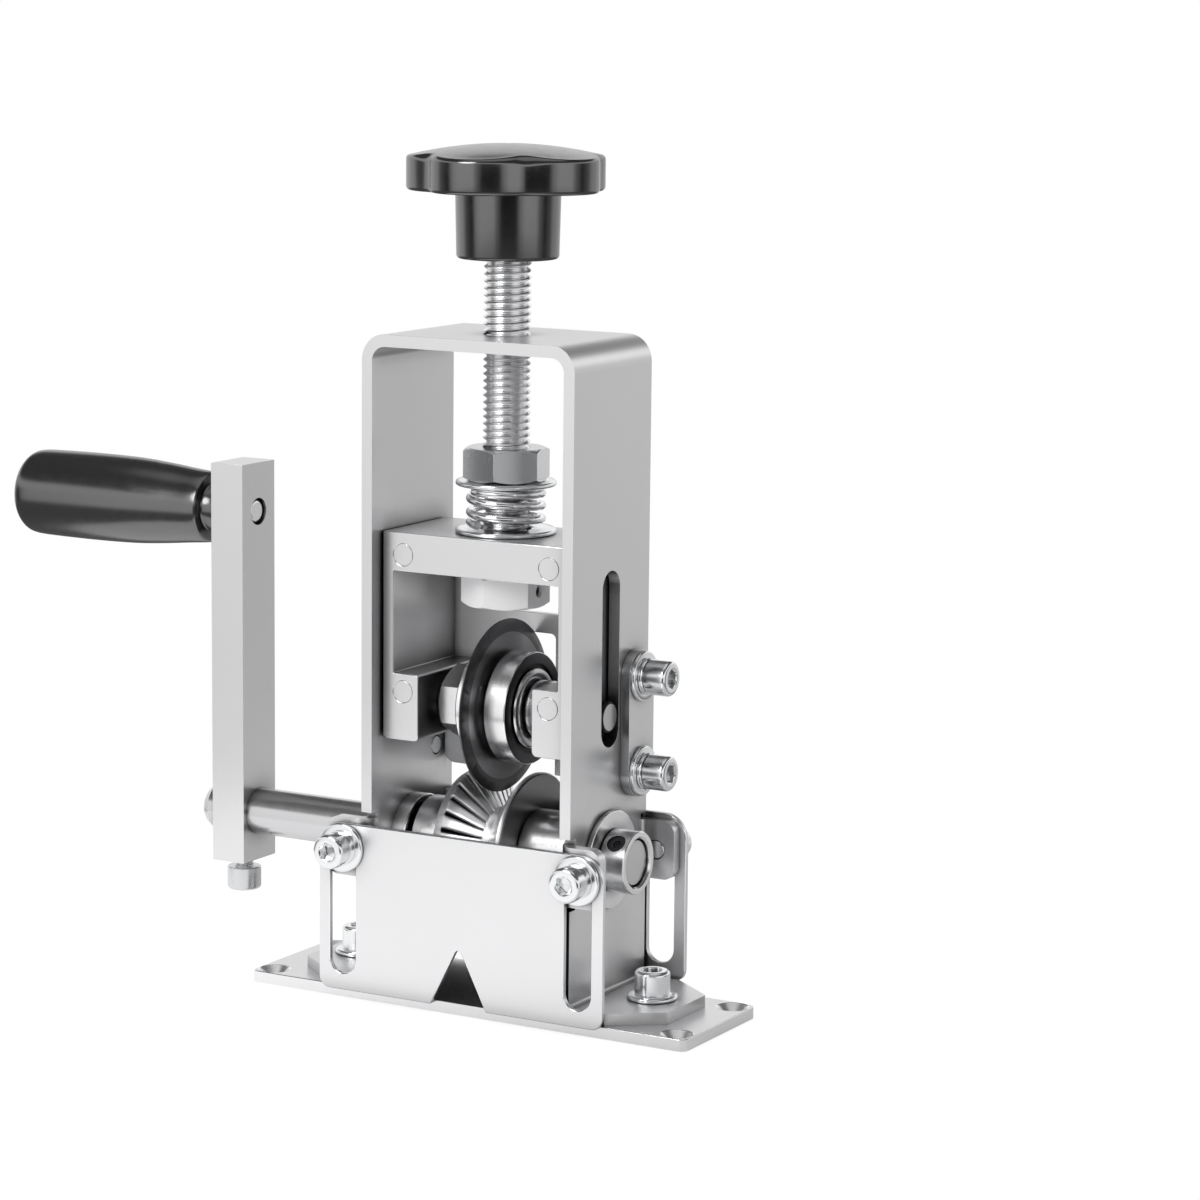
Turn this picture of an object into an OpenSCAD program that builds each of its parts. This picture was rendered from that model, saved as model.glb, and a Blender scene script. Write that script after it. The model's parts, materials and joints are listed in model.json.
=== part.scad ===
// Hand crank wire stripper. Lengths are in millimetres and +Z is up. The drive shaft lies along X with
// the crank at -X, the wire goes in at the front, -Y, and the origin is the middle of the underside
// of the base plate.

/* [Base plate] */
// Length of the base plate along the shaft
base_w = 125.4; // [122:0.2:136]
// How far the long edges of the base plate sit inside the frame's depth, with both centred
base_in = 0.3; // [0:0.05:0.8]
// Thickness of the base plate
base_t = 3; // [2.4:0.1:5]
// Corner radius of the base plate
base_corner_r = 2; // [1:0.1:4]
// Bore of the four bench screw holes
base_hole_d = 4.2; // [3.2:0.1:5]
// Width of their countersinks
base_hole_head_d = 8; // [6.4:0.1:8.6]
// Distance between the bench holes along the shaft
base_hole_pitch_x = 116.6; // [114:0.2:117]
// Distance from the bench holes to the long edges of the base plate
base_hole_in = 4.2; // [4.2:0.1:5.5]

/* [Frame] */
// Width of the bent frame over its walls
frame_w = 60; // [58:0.5:64]
// Depth of the frame from front to back
frame_d = 38; // [36:0.5:40]
// Height of the top of the frame above the base plate
frame_rise = 164.3; // [162:0.1:170]
// How far the frame's middle sits behind the middle of the base plate
frame_back = 1.35; // [0:0.05:1.6]
// Thickness of the frame's sheet
strap_t = 3; // [2.6:0.1:3.2]
// Outer radius of the two bends at the top
strap_bend_r = 6.5; // [4.5:0.1:9]
// Inner radius of the bends at the feet
foot_bend_r = 1; // [0.6:0.1:1.6]
// Width over the two feet
foot_w = 105; // [102:0.5:108]
// Length of the cut corners of the feet along the shaft
foot_taper_x = 12.5; // [8:0.5:14]
// Depth of the cut corners of the feet
foot_taper_y = 9.5; // [6:0.5:11]
// Distance between the two foot screws
foot_screw_pitch = 85.6; // [84:0.2:88]

/* [Frame slots and guide tabs] */
// Width of the upright slots for the ends of the blade axle
slot_w = 8.6; // [8.3:0.1:9.2]
// Length of these slots
slot_l = 43.8; // [40:0.2:46]
// Distance from the resting blade axle down to the lower end of its slot
slot_below_axle = 7.5; // [6.8:0.1:9]
// Height of the lower edge of the guide tabs above the base plate
tab_rise = 28.5; // [26:0.1:30]
// Height of the guide tabs
tab_h = 14.8; // [13:0.1:16]
// How far the guide tabs reach out from the walls
tab_reach = 9; // [8.2:0.1:10]
// Inner radius of the bend of the guide tabs
tab_bend_r = 1; // [0.5:0.1:1.2]
// Height of the relief cuts above and below the tabs
tab_relief = 1.5; // [1:0.1:2]
// Corner radius of the guide tabs
tab_corner_r = 3; // [1:0.1:4]

/* [Guide plates] */
// Distance from the middle of a guide plate's slots to its side edges
guide_side_w = 7; // [6:0.1:9]
// Height of a guide plate
guide_h = 42.7; // [41:0.1:45]
// Thickness of a guide plate
guide_t = 1.4; // [1:0.1:2.2]
// How far the front plate hangs below the top of the base plate
guide_drop = 0.7; // [0.2:0.1:1.2]
// How much higher the rear plate is clamped than the front plate
rear_guide_lift = 2.8; // [0:0.1:4]
// How far outside the frame's walls the slots and their screws sit
guide_screw_out = 3.8; // [3.5:0.1:4.5]
// Width of the two upright slots of a plate
guide_slot_w = 7.6; // [6:0.1:8]
// Height of the lower end of the slots above the plate's lower edge
guide_slot_low = 4.2; // [3:0.1:8]
// Height of the upper end of the slots above the plate's lower edge
guide_slot_high = 40.4; // [39.8:0.1:41]
// Half width of the notch at the plate's lower edge
notch_half_w = 8; // [5:0.1:10]
// Half of the angle of the notch in degrees
notch_angle = 27; // [22:0.5:34]
// Radius of the tip of the notch
notch_tip_r = 1; // [0.5:0.1:1.6]
// Radius of the lower corners of a plate
guide_low_r = 3; // [1:0.1:4]
// Radius of the upper corners of a plate
guide_high_r = 6.5; // [3:0.1:7]

/* [Side strips] */
// Width of a side strip
strip_w = 12.4; // [11.4:0.1:12.8]
// Height of a side strip
strip_h = 36.8; // [35:0.1:38]
// Thickness of a side strip
strip_t = 2.5; // [1.5:0.1:4]
// Height of the middle of the strips above the base plate
strip_rise = 68.9; // [67:0.1:72]
// Distance from the strips to the rear edge of the frame
strip_edge = 1.3; // [0.8:0.1:1.6]
// Distance between the two screws of a strip
strip_screw_pitch = 23.8; // [22:0.1:24]

/* [Screws and washers] */
// Thread diameter of the cap screws
screw_d = 5; // [4:0.1:5.2]
// Head diameter of the cap screws
screw_head_d = 8.8; // [8:0.1:9.4]
// Head height of the cap screws
screw_head_h = 6; // [4:0.1:6.4]
// Width across flats of their sockets
screw_socket_af = 4; // [2.5:0.1:4.4]
// Depth of their sockets
screw_socket_depth = 3; // [1.5:0.1:3.4]
// Outer diameter of the flat washers
washer_d = 12.5; // [10:0.1:12.9]
// Thickness of the flat washers
washer_t = 1.2; // [0.8:0.1:1.6]
// Outer diameter of the lock washers on the strip screws
lock_washer_d = 9.2; // [8:0.1:10]
// Thickness of the lock washers
lock_washer_t = 1.3; // [0.8:0.1:1.8]

/* [Drive shaft] */
// Diameter of the drive shaft
shaft_d = 12; // [10:0.1:12.4]
// Height of the shaft's axis above the base plate
shaft_rise = 36.5; // [36:0.1:37.5]
// Outer diameter of the shaft bushes inside the walls
bush_d = 20.5; // [18:0.1:21]
// Length of a bush from the outside of the wall inwards
bush_l = 7; // [4.5:0.1:8]
// Diameter of the flange of a bush
bush_flange_d = 24.5; // [22:0.1:25.5]
// Thickness of the flange of a bush
bush_flange_t = 1.4; // [0.8:0.1:1.8]
// Outer diameter of the spacers beside the wheels
spacer_d = 20.5; // [18:0.1:22]
// Gap between the left spacer and the left bush
spacer_left_gap = 0.9; // [0.3:0.1:1.5]
// Outer diameter of the collar at the shaft's right end
collar_d = 15.7; // [15:0.1:18]
// Length of the collar
collar_l = 6.8; // [6:0.1:8]
// Diameter of the collar's set screw
collar_screw_d = 4.8; // [3.5:0.1:5]
// How far the set screw leans forwards from upright in degrees
collar_screw_lean = 43; // [20:1:60]
// How far the shaft's domed end stands out past the crank arm
shaft_end_l = 5.2; // [3:0.1:7]
// Width and height of the key that locks the wheels to the shaft
key_w = 3; // [2:0.1:4]

/* [Drive wheels] */
// Rim diameter of the ribbed wheel
ribbed_wheel_d = 39; // [38:0.1:39.4]
// Distance from the groove's middle to the ribbed wheel's outer face
ribbed_wheel_w = 10.4; // [9:0.1:12]
// Width of the bevel on the ribbed wheel's outer side
ribbed_bevel_w = 3.5; // [2:0.1:4]
// Depth of that bevel
ribbed_bevel_h = 2; // [1:0.1:3]
// Rim diameter of the plain wheel
plain_wheel_d = 38.3; // [37:0.1:39]
// Distance from the groove's middle to the plain wheel's outer face
plain_wheel_w = 9.7; // [9:0.1:12]
// Size of the bevels on the plain wheel's rim
plain_bevel = 0.6; // [0.3:0.1:1]
// Diameter of the floor of the groove between the wheels
groove_floor_d = 19; // [17:0.1:22]
// Width of that floor
groove_floor_w = 2; // [2:0.1:3]
// Number of ribs on the ribbed wheel
rib_count = 28; // [20:1:32]
// Depth of the cuts between the ribs at the rim
rib_depth = 1.3; // [0.6:0.1:1.5]
// Depth of these cuts at the groove's floor
rib_depth_inner = 0.5; // [0.3:0.1:0.7]

/* [Crank] */
// Gap between the frame's left wall and the crank arm
arm_gap = 43.7; // [40:0.1:50]
// Thickness of the crank arm along the shaft
arm_t = 9.65; // [8:0.05:12]
// Width of the crank arm
arm_w = 14.4; // [14:0.1:17]
// Distance from the shaft's axis to the handle's axis
crank_r = 78.2; // [60:0.2:100]
// Distance from the handle's axis to the arm's upper end
arm_over_handle = 12.6; // [9:0.1:16]
// Distance from the shaft's axis to the arm's lower end
arm_below_shaft = 12.8; // [10:0.1:16]
// Visible neck of the clamp screw between its head and the arm
clamp_neck = 2.3; // [0.4:0.1:4]
// Diameter of the handle's axle
handle_axle_d = 6; // [5:0.1:6.6]
// Diameter of the recess round the axle's end in the arm
handle_recess_d = 7; // [6.8:0.1:9]
// Depth of that recess
handle_recess = 2; // [1:0.1:3]
// Diameter of the head of the handle's axle
handle_head_d = 10; // [8:0.1:10.6]
// Height of that head
handle_head_h = 3.3; // [2:0.1:4]
// Length of the handle grip with its neck
grip_l = 61.3; // [50:0.1:80]
// Largest diameter of the handle grip
grip_d = 22.8; // [20:0.1:26]
// Length of the grip's thin neck
grip_neck_l = 3.9; // [2:0.1:6]
// Diameter of the grip's neck
grip_neck_d = 12; // [9:0.1:14]

/* [Blade] */
// Diameter of the round blade
blade_d = 43.3; // [42:0.1:43.6]
// Thickness of the blade
blade_t = 1.5; // [1:0.1:1.7]
// Bore of the blade
blade_bore_d = 21.5; // [18:0.1:22]
// Width of the ground bevel at the blade's edge
blade_bevel_w = 2.6; // [1:0.1:3]
// Thickness left at the blade's edge
blade_edge_t = 0.3; // [0.2:0.05:0.5]
// How far the blade dips below the rim of the ribbed wheel at rest
blade_dip = 5.65; // [4:0.05:6]
// Diameter of the flange left of the blade
flange_d = 27; // [25:0.1:27.6]
// Width of that flange
flange_w = 5.55; // [4:0.05:6]
// Width across flats of the nut that clamps the blade
blade_nut_af = 16; // [15:0.1:17]
// Thickness of that nut
blade_nut_h = 8; // [6:0.1:8.4]
// Thread diameter of the hub under the nut
hub_thread_d = 12; // [11:0.1:13]
// Diameter of the shoulder right of the blade
hub_shoulder_d = 24; // [23:0.1:25]
// Width of that shoulder
hub_shoulder_w = 1.5; // [1:0.1:2]
// Wall of the hub's ring round its bearing
hub_wall = 1.8; // [1.2:0.1:2]
// Width of the hub's ring
hub_ring_w = 5.95; // [5:0.05:6.5]
// Bore of the hub's ring, the outer diameter of its bearing
hub_bearing_d = 24.4; // [23:0.1:25]
// Width of the bearing outside its inner ring
bearing_race_w = 3; // [2:0.1:4]
// How far the inner ring stands out past the hub
inner_ring_proud = 1; // [0.4:0.1:1.5]
// Outer diameter of the sleeve between the inner ring and the carriage
sleeve_d = 13.4; // [11:0.1:15]
// Outer diameter of the spacer left of the nut
axle_spacer_d = 11; // [9.5:0.1:13]
// Distance between the nut and the carriage foot, which the spacer fills
axle_spacer_room = 2; // [1:0.1:3]
// Diameter of the blade axle
axle_d = 8; // [7:0.1:8.1]
// Chamfer at the ends of the blade axle
axle_chamfer = 0.45; // [0.2:0.05:0.8]

/* [Blade carriage] */
// Depth of the carriage from front to back
carriage_d = 29.2; // [28.6:0.1:30]
// Thickness of the carriage legs above the feet
carriage_leg_t = 3; // [2.4:0.1:5]
// Distance from the blade axle down to the underside of the feet
carriage_foot_below = 8.8; // [8:0.1:10]
// Distance from the blade axle up to the top of the feet
carriage_foot_above = 8; // [7:0.1:9]
// Distance from the blade axle up to the top of the carriage
carriage_rise = 43.3; // [42:0.1:45]
// Height of the carriage's top bar
carriage_bar_h = 9.6; // [8:0.1:10]
// Corner radius at the carriage's lower corners
carriage_corner_r = 1.5; // [0.8:0.1:2]
// Diameter of the pins in the carriage
pin_d = 5.5; // [4:0.1:5.8]
// Length of the pins
pin_l = 9; // [5:0.1:9.4]
// How far the pins sit inwards of the middle of the carriage's feet
pin_off = 0.65; // [0:0.05:1.5]
// Distance from the top of the carriage down to the upper pins
pin_below_top = 5.5; // [4:0.1:6]
// Distance from the blade axle up to the lower pins
pin_above_axle = 3.5; // [3:0.1:4]
// Thickness of the blade guard behind the carriage
guard_t = 2.2; // [1:0.1:2.4]
// Distance from the blade axle down to the guard's lower edge
guard_below = 19.8; // [18:0.1:19.9]
// Distance from the blade axle up to the guard's upper edge between its ears
guard_above = 21.2; // [20:0.1:24]
// Half width of the guard's notch for the blade
guard_notch_half_w = 6; // [4:0.1:8]
// Distance from the blade axle up to the top of the notch
guard_notch_above = 16.2; // [15.8:0.1:18]
// Corner radius of the notch
guard_notch_r = 1.5; // [0.5:0.1:2]
// Half width of the cut between the guard's ears
guard_ear_half_gap = 14; // [12:0.1:15]
// Corner radius of the guard's lower corners
guard_corner_r = 3; // [1:0.1:4]

/* [Feed screw] */
// Diameter of the feed screw
rod_d = 11.8; // [10:0.1:12]
// Distance from the top of the frame up to the knob
knob_gap = 18.5; // [10:0.1:26]
// Width across flats of the two feed nuts
nut_af = 19; // [18:0.1:20]
// Thickness of the feed nuts
nut_h = 8.1; // [6:0.1:9]
// Turn of the upper nut about the feed screw in degrees
upper_nut_turn = -16; // [-60:1:60]
// Turn of the lower nut about the feed screw in degrees
lower_nut_turn = -29; // [-60:1:60]
// Diameter of the lower nut's set screw
nut_screw_d = 3; // [2:0.1:4]
// How far the feed screw reaches out below the lower nut
rod_tip = 0.6; // [0.2:0.1:1.5]
// Outer diameter of the two spring washers
seat_d = 25; // [22:0.1:26]
// Thickness of the two spring washers
seat_t = 1.2; // [0.8:0.1:1.6]
// Outer diameter of the spring
spring_d = 19.8; // [18.5:0.1:22]
// Diameter of the spring wire
spring_wire_d = 2.1; // [1.6:0.1:2.2]
// Length of the fitted spring
spring_l = 10.7; // [10.2:0.1:13]
// Number of turns of the spring
spring_turns = 3; // [2:0.25:3]

/* [Star knob] */
// Diameter over the knob's lobes
knob_d = 50; // [46:0.5:60]
// Number of lobes
knob_lobes = 5; // [4:1:6]
// Radius of a lobe
lobe_r = 14.7; // [13:0.1:17]
// Radius of the hollows between the lobes
hollow_r = 10; // [4:0.5:14]
// Turn of the knob in degrees, to the first lobe
knob_turn = 59; // [0:1:72]
// Height of the knob's star at its rim
knob_rim_h = 8.6; // [6:0.1:14]
// Height of the dome above the rim
knob_dome_h = 2.9; // [1:0.1:5]
// Rounding of the knob's edges
knob_edge = 1; // [0.4:0.1:2]
// Height of the knob's hub
knob_hub_h = 16.4; // [12:0.1:24]
// Diameter of the hub at the star
knob_hub_d = 25.9; // [24:0.1:30]
// Diameter of the hub at its lower end
knob_hub_low_d = 25.2; // [23:0.1:29]
// Outer diameter of the metal insert in the hub
insert_d = 17; // [15:0.1:19]
// Height of the insert
insert_h = 14; // [10:0.1:16]
// Diameter of the insert's tip in the middle of the dome
insert_tip_d = 3.4; // [2:0.1:6]

/* [Fits] */
// Radial play of turning and sliding fits
run_fit = 0.05; // [0.03:0.01:0.1]
// Radial play of fixed pieces in their seats
seat_fit = 0.02; // [0.01:0.01:0.05]
// Gap beside pieces that move past each other
ease = 0.3; // [0.2:0.05:0.5]
// Gap between the carriage and the frame's walls
carriage_play = 0.5; // [0.3:0.05:0.8]
// Gap between the base plate's front edge and the guide plate
guide_play = 0.25; // [0.2:0.05:0.6]

/* [Hidden] */
$fn = 96;
// Overrun of every cut past the face that it opens
over = 1;
// Play at the tips of screws that end inside a piece
tip_play = 0.4;
// Chamfer at the ends of the drive shaft and the collar
shaft_chamfer = 0.5;
// Bevel of the nuts' corners as a share of their width across flats
nut_bevel_share = 0.04;

// Frame heights and faces
frame_top = base_t + frame_rise;
wall_out = frame_w / 2;
wall_in = wall_out - strap_t;
foot_bend_out = strap_t + foot_bend_r;
base_d = frame_d - 2 * base_in;
base_hole_pitch_y = base_d - 2 * base_hole_in;
guide_plane = base_d / 2 + frame_back + guide_play;
strip_back = frame_d / 2 - strip_w / 2 - strip_edge;
tab_low = base_t + tab_rise;
tab_high = tab_low + tab_h;
tab_bend_y = guide_plane - strap_t - tab_bend_r;

// Guide plate heights, with the guide screws at the top of the front plate's slots
guide_low = base_t - guide_drop;
guide_screw_x = wall_out + guide_screw_out;
guide_w = 2 * (guide_screw_x + guide_side_w);
guide_screw_z = guide_low + guide_slot_high - guide_slot_w / 2;

// Drive line
shaft_r = shaft_d / 2;
shaft_z = base_t + shaft_rise;
bush_in = wall_out - bush_l;
bush_out = wall_out + bush_flange_t;
ribbed_wheel_r = ribbed_wheel_d / 2;
plain_wheel_r = plain_wheel_d / 2;
groove_floor_r = groove_floor_d / 2;
collar_in = bush_out + ease;
collar_out = collar_in + collar_l;
collar_r = collar_d / 2;
arm_in = -(wall_out + arm_gap);
arm_out = arm_in - arm_t;
arm_mid = (arm_in + arm_out) / 2;
shaft_end = arm_out - shaft_end_l;
handle_z = shaft_z + crank_r;
arm_low = shaft_z - arm_below_shaft;
grip_in = arm_out - ease;
grip_out = grip_in - grip_l;
handle_head_in = grip_out + handle_head_h + ease;

// Blade line
axle_z = shaft_z + ribbed_wheel_r + blade_d / 2 - blade_dip;
axle_r = axle_d / 2;
blade_half_t = blade_t / 2;
flange_out = -(blade_half_t + flange_w);
blade_nut_out = flange_out - blade_nut_h;
ring_in = blade_half_t + hub_shoulder_w;
ring_out = ring_in + hub_ring_w;
hub_recess_in = ring_in + hub_shoulder_w;
inner_ring_out = ring_out + inner_ring_proud;
hub_ring_d = hub_bearing_d + 2 * hub_wall;
inner_ring_d = hub_bearing_d - 2 * bearing_race_w;
slot_low = axle_z - slot_below_axle;
slot_high = slot_low + slot_l;

// Carriage
carriage_half_w = wall_in - carriage_play;
carriage_half_d = carriage_d / 2;
carriage_foot_in = axle_spacer_room - blade_nut_out;
carriage_foot_w = carriage_half_w - carriage_foot_in;
carriage_low = axle_z - carriage_foot_below;
carriage_foot_top = axle_z + carriage_foot_above;
carriage_top = axle_z + carriage_rise;
carriage_bar_low = carriage_top - carriage_bar_h;
pin_x = carriage_half_w - carriage_foot_w / 2 - pin_off;
pin_high_z = carriage_top - pin_below_top;
pin_low_z = axle_z + pin_above_axle;
guard_half_d = carriage_half_d + guard_t;

// Feed screw
rod_r = rod_d / 2;
spring_low = carriage_top + seat_t;
spring_high = spring_low + spring_l;
top_seat_top = spring_high + seat_t;
upper_nut_low = top_seat_top + run_fit;
lower_nut_low = carriage_bar_low - ease - nut_h;
rod_low = lower_nut_low - rod_tip;
knob_low = frame_top + knob_gap;
star_low = knob_low + knob_hub_h;
star_rim = star_low + knob_rim_h;
knob_top = star_rim + knob_dome_h;

// Spring tube: rings along the helix, with the wire's middle as far in as its radius
spring_ring_count = 8 * spring_turns;
spring_sides = 6;
spring_mid_r = (spring_d - spring_wire_d) / 2;
spring_rise = spring_l - spring_wire_d - 2 * run_fit;
spring_slope = atan(spring_rise / (2 * PI * spring_mid_r * spring_turns));

// Screw dimensions that follow what the screws go through
hole_r = screw_d / 2 + seat_fit;
foot_stack = washer_t + strap_t + base_t - tip_play;
strip_stack = lock_washer_t + washer_t + strip_t + strap_t;
guide_stack = washer_t + guide_t + strap_t;

// Helpers: shapes along one axis, at the frame's middle

module in_frame() {
    translate([0, frame_back, 0]) children();
}

module along_x(r, x_from, x_to) {
    translate([x_from, 0, 0]) rotate([0, 90, 0]) cylinder(r = r, h = x_to - x_from);
}

module along_y(r, y_from, y_to) {
    translate([0, y_from, 0]) rotate([-90, 0, 0]) cylinder(r = r, h = y_to - y_from);
}

// A turned piece on the X axis, from points of radius and X
module turned_on_x(outline) {
    rotate([0, 90, 0]) rotate_extrude() polygon(outline);
}

module ring_x(r_out, r_in, x_from, x_to) {
    difference() {
        along_x(r_out, x_from, x_to);
        along_x(r_in, x_from - over, x_to + over);
    }
}

// An upright plate: its outline in X and Z, extruded from one Y to another
module upright(y_from, y_to) {
    translate([0, y_to, 0]) rotate([90, 0, 0]) linear_extrude(y_to - y_from) children();
}

// A rectangle that stands on its middle, with its own radius for the lower and the upper corners
module round_rect(w, h, r_low, r_high) {
    translate([-w / 2, r_low]) square([w, h - r_low - r_high]);
    translate([-w / 2 + r_low, 0]) square([w - 2 * r_low, 2 * r_low]);
    translate([-w / 2 + r_high, h - 2 * r_high]) square([w - 2 * r_high, 2 * r_high]);
    for (side = [-1, 1]) {
        translate([side * (w / 2 - r_low), r_low]) circle(r_low);
        translate([side * (w / 2 - r_high), h - r_high]) circle(r_high);
    }
}

// A quarter of a bent sheet about its bend's middle, in the quadrant that the two signs give
module bend(r_out, r_in, side_x, side_y) {
    intersection() {
        difference() {
            circle(r_out);
            circle(r_in);
        }
        translate([side_x < 0 ? -r_out : 0, side_y < 0 ? -r_out : 0]) square(r_out);
    }
}

// A cap screw that points up: the head stands on the plane at zero and the shank hangs below it
module cap_screw(shank_l) {
    difference() {
        cylinder(d = screw_head_d, h = screw_head_h);
        translate([0, 0, screw_head_h - screw_socket_depth])
            cylinder(d = screw_socket_af / cos(30), h = screw_socket_depth + over, $fn = 6);
    }
    translate([0, 0, -shank_l]) cylinder(d = screw_d, h = shank_l);
}

module washer(d, t, bore_r) {
    difference() {
        cylinder(d = d, h = t);
        translate([0, 0, -over]) cylinder(r = bore_r, h = t + 2 * over);
    }
}

// A hexagon nut with bevelled corners, from zero upwards
module hex_nut(af, h, bore_r) {
    corner_r = af / 2 / cos(30);
    bevel = af * nut_bevel_share;
    flat_r = corner_r - 2 * bevel;
    difference() {
        intersection() {
            cylinder(r = corner_r, h = h, $fn = 6);
            rotate_extrude()
                polygon([[0, 0], [flat_r, 0], [corner_r, bevel], [corner_r, h - bevel], [flat_r, h],
                    [0, h]]);
        }
        translate([0, 0, -over]) cylinder(r = bore_r, h = h + 2 * over);
    }
}

// Copies at the left and the right, by turning half round the upright axis
module both_sides() {
    for (turn = [0, 180]) rotate([0, 0, turn]) children();
}

// Base

module base_plate() {
    color("silver") difference() {
        linear_extrude(base_t) translate([0, -base_d / 2])
            round_rect(base_w, base_d, base_corner_r, base_corner_r);
        for (x = [-1, 1], y = [-1, 1])
            translate([x * base_hole_pitch_x / 2, y * base_hole_pitch_y / 2, 0]) bench_hole();
        in_frame() for (x = [-1, 1])
            translate([x * foot_screw_pitch / 2, 0, -over]) cylinder(r = hole_r, h = base_t + 2 * over);
    }
}

module bench_hole() {
    sink_h = (base_hole_head_d - base_hole_d) / 2;
    translate([0, 0, -over]) cylinder(d = base_hole_d, h = base_t + 2 * over);
    translate([0, 0, base_t - sink_h])
        cylinder(d1 = base_hole_d, d2 = base_hole_head_d + 2 * over, h = sink_h + over);
}

// Frame

module strap_outline() {
    bend_x = wall_out - strap_bend_r;
    bend_z = frame_top - strap_bend_r;
    foot_x = wall_out + foot_bend_r;
    foot_z = base_t + foot_bend_out;
    translate([-bend_x, frame_top - strap_t]) square([2 * bend_x, strap_t]);
    for (side = [-1, 1]) {
        translate([side * bend_x, bend_z]) bend(strap_bend_r, strap_bend_r - strap_t, side, 1);
        translate([side * (wall_out - strap_t / 2) - strap_t / 2, foot_z])
            square([strap_t, bend_z - foot_z]);
        translate([side * foot_x, foot_z]) bend(foot_bend_out, foot_bend_r, -side, -1);
        translate([side > 0 ? foot_x : -foot_w / 2, base_t]) square([foot_w / 2 - foot_x, strap_t]);
    }
}

// Plan of the frame, whose feet have cut corners
module strap_plan() {
    x_out = foot_w / 2;
    x_in = x_out - foot_taper_x;
    y_out = frame_d / 2;
    y_in = y_out - foot_taper_y;
    polygon([[x_out, -y_in], [x_out, y_in], [x_in, y_out], [-x_in, y_out], [-x_out, y_in],
        [-x_out, -y_in], [-x_in, -y_out], [x_in, -y_out]]);
}

// The right front guide tab, bent outwards from the wall's edge
module guide_tab() {
    bend_x = wall_out + tab_bend_r;
    far_x = wall_out + tab_reach;
    intersection() {
        translate([0, 0, tab_low]) linear_extrude(tab_h) {
            translate([bend_x, -guide_plane]) square([tab_reach - tab_bend_r, strap_t]);
            translate([bend_x, -tab_bend_y]) bend(strap_t + tab_bend_r, tab_bend_r, -1, -1);
        }
        upright(-guide_plane - over, 0) translate([0, tab_low])
            round_rect(2 * far_x, tab_h, tab_corner_r, tab_corner_r);
    }
}

// The cut that frees the tab from the wall, with its relief above and below
module tab_notch() {
    cut_l = frame_d / 2 + over - tab_bend_y;
    translate([wall_in - over, -tab_bend_y - cut_l, tab_low - tab_relief])
        cube([strap_t + 2 * over, cut_l, tab_h + 2 * tab_relief]);
}

module at_four_tabs() {
    for (x = [0, 1], y = [0, 1]) mirror([x, 0, 0]) mirror([0, y, 0]) children();
}

module axle_slots() {
    half_w = slot_w / 2;
    for (z = [slot_low + half_w, slot_high - half_w])
        translate([0, 0, z]) along_x(half_w, -wall_out - over, wall_out + over);
    translate([-wall_out - over, -half_w, slot_low + half_w])
        cube([frame_w + 2 * over, slot_w, slot_l - slot_w]);
}

module frame_strap() {
    color("gainsboro") in_frame() difference() {
        union() {
            difference() {
                intersection() {
                    upright(-frame_d / 2, frame_d / 2) strap_outline();
                    linear_extrude(frame_top + over) strap_plan();
                }
                at_four_tabs() tab_notch();
            }
            at_four_tabs() guide_tab();
        }
        axle_slots();
        translate([0, 0, shaft_z])
            along_x(bush_d / 2 + seat_fit, -wall_out - over, wall_out + over);
        for (z = strip_screw_heights())
            translate([0, strip_back, z]) along_x(hole_r, -wall_out - over, wall_out + over);
        for (x = [-1, 1])
            translate([x * foot_screw_pitch / 2, 0, 0])
                cylinder(r = hole_r, h = base_t + strap_t + over);
        for (x = [-1, 1])
            translate([x * guide_screw_x, 0, guide_screw_z])
                along_y(hole_r, -guide_plane - over, guide_plane + over);
        translate([0, 0, frame_top - strap_t - over])
            cylinder(r = rod_r + run_fit, h = strap_t + 2 * over);
    }
}

module foot_screws() {
    color("gainsboro") in_frame() for (x = [-1, 1])
        translate([x * foot_screw_pitch / 2, 0, base_t + strap_t + washer_t]) cap_screw(foot_stack);
}

module foot_washers() {
    color("gainsboro") in_frame() for (x = [-1, 1])
        translate([x * foot_screw_pitch / 2, 0, base_t + strap_t]) washer(washer_d, washer_t, hole_r);
}

// Side strips

function strip_screw_heights() =
    [for (s = [-1, 1]) base_t + strip_rise + s * strip_screw_pitch / 2];

module side_strip() {
    r = strip_w / 2;
    straight_l = strip_h - strip_w;
    strip_z = base_t + strip_rise;
    difference() {
        union() {
            for (z = [strip_z - straight_l / 2, strip_z + straight_l / 2])
                translate([0, strip_back, z]) along_x(r, wall_out, wall_out + strip_t);
            translate([wall_out, strip_back - r, strip_z - straight_l / 2])
                cube([strip_t, strip_w, straight_l]);
        }
        for (z = strip_screw_heights())
            translate([0, strip_back, z]) along_x(hole_r, wall_out - over, wall_out + strip_t + over);
    }
}

module side_strip_right() {
    color("silver") in_frame() side_strip();
}

module side_strip_left() {
    color("silver") in_frame() mirror([1, 0, 0]) side_strip();
}

// Pieces on the four strip screws, turned to point outwards from their seat
module at_strip_screws(seat_x) {
    in_frame() for (side = [0, 1], z = strip_screw_heights())
        mirror([side, 0, 0]) translate([seat_x, strip_back, z]) rotate([0, 90, 0]) children();
}

module strip_screws() {
    color("gainsboro") at_strip_screws(wall_out + strip_t + washer_t + lock_washer_t)
        cap_screw(strip_stack);
}

module strip_washers() {
    color("gainsboro") at_strip_screws(wall_out + strip_t) washer(washer_d, washer_t, hole_r);
}

module strip_lock_washers() {
    color("silver") at_strip_screws(wall_out + strip_t + washer_t)
        washer(lock_washer_d, lock_washer_t, hole_r);
}

// Guide plates

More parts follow.
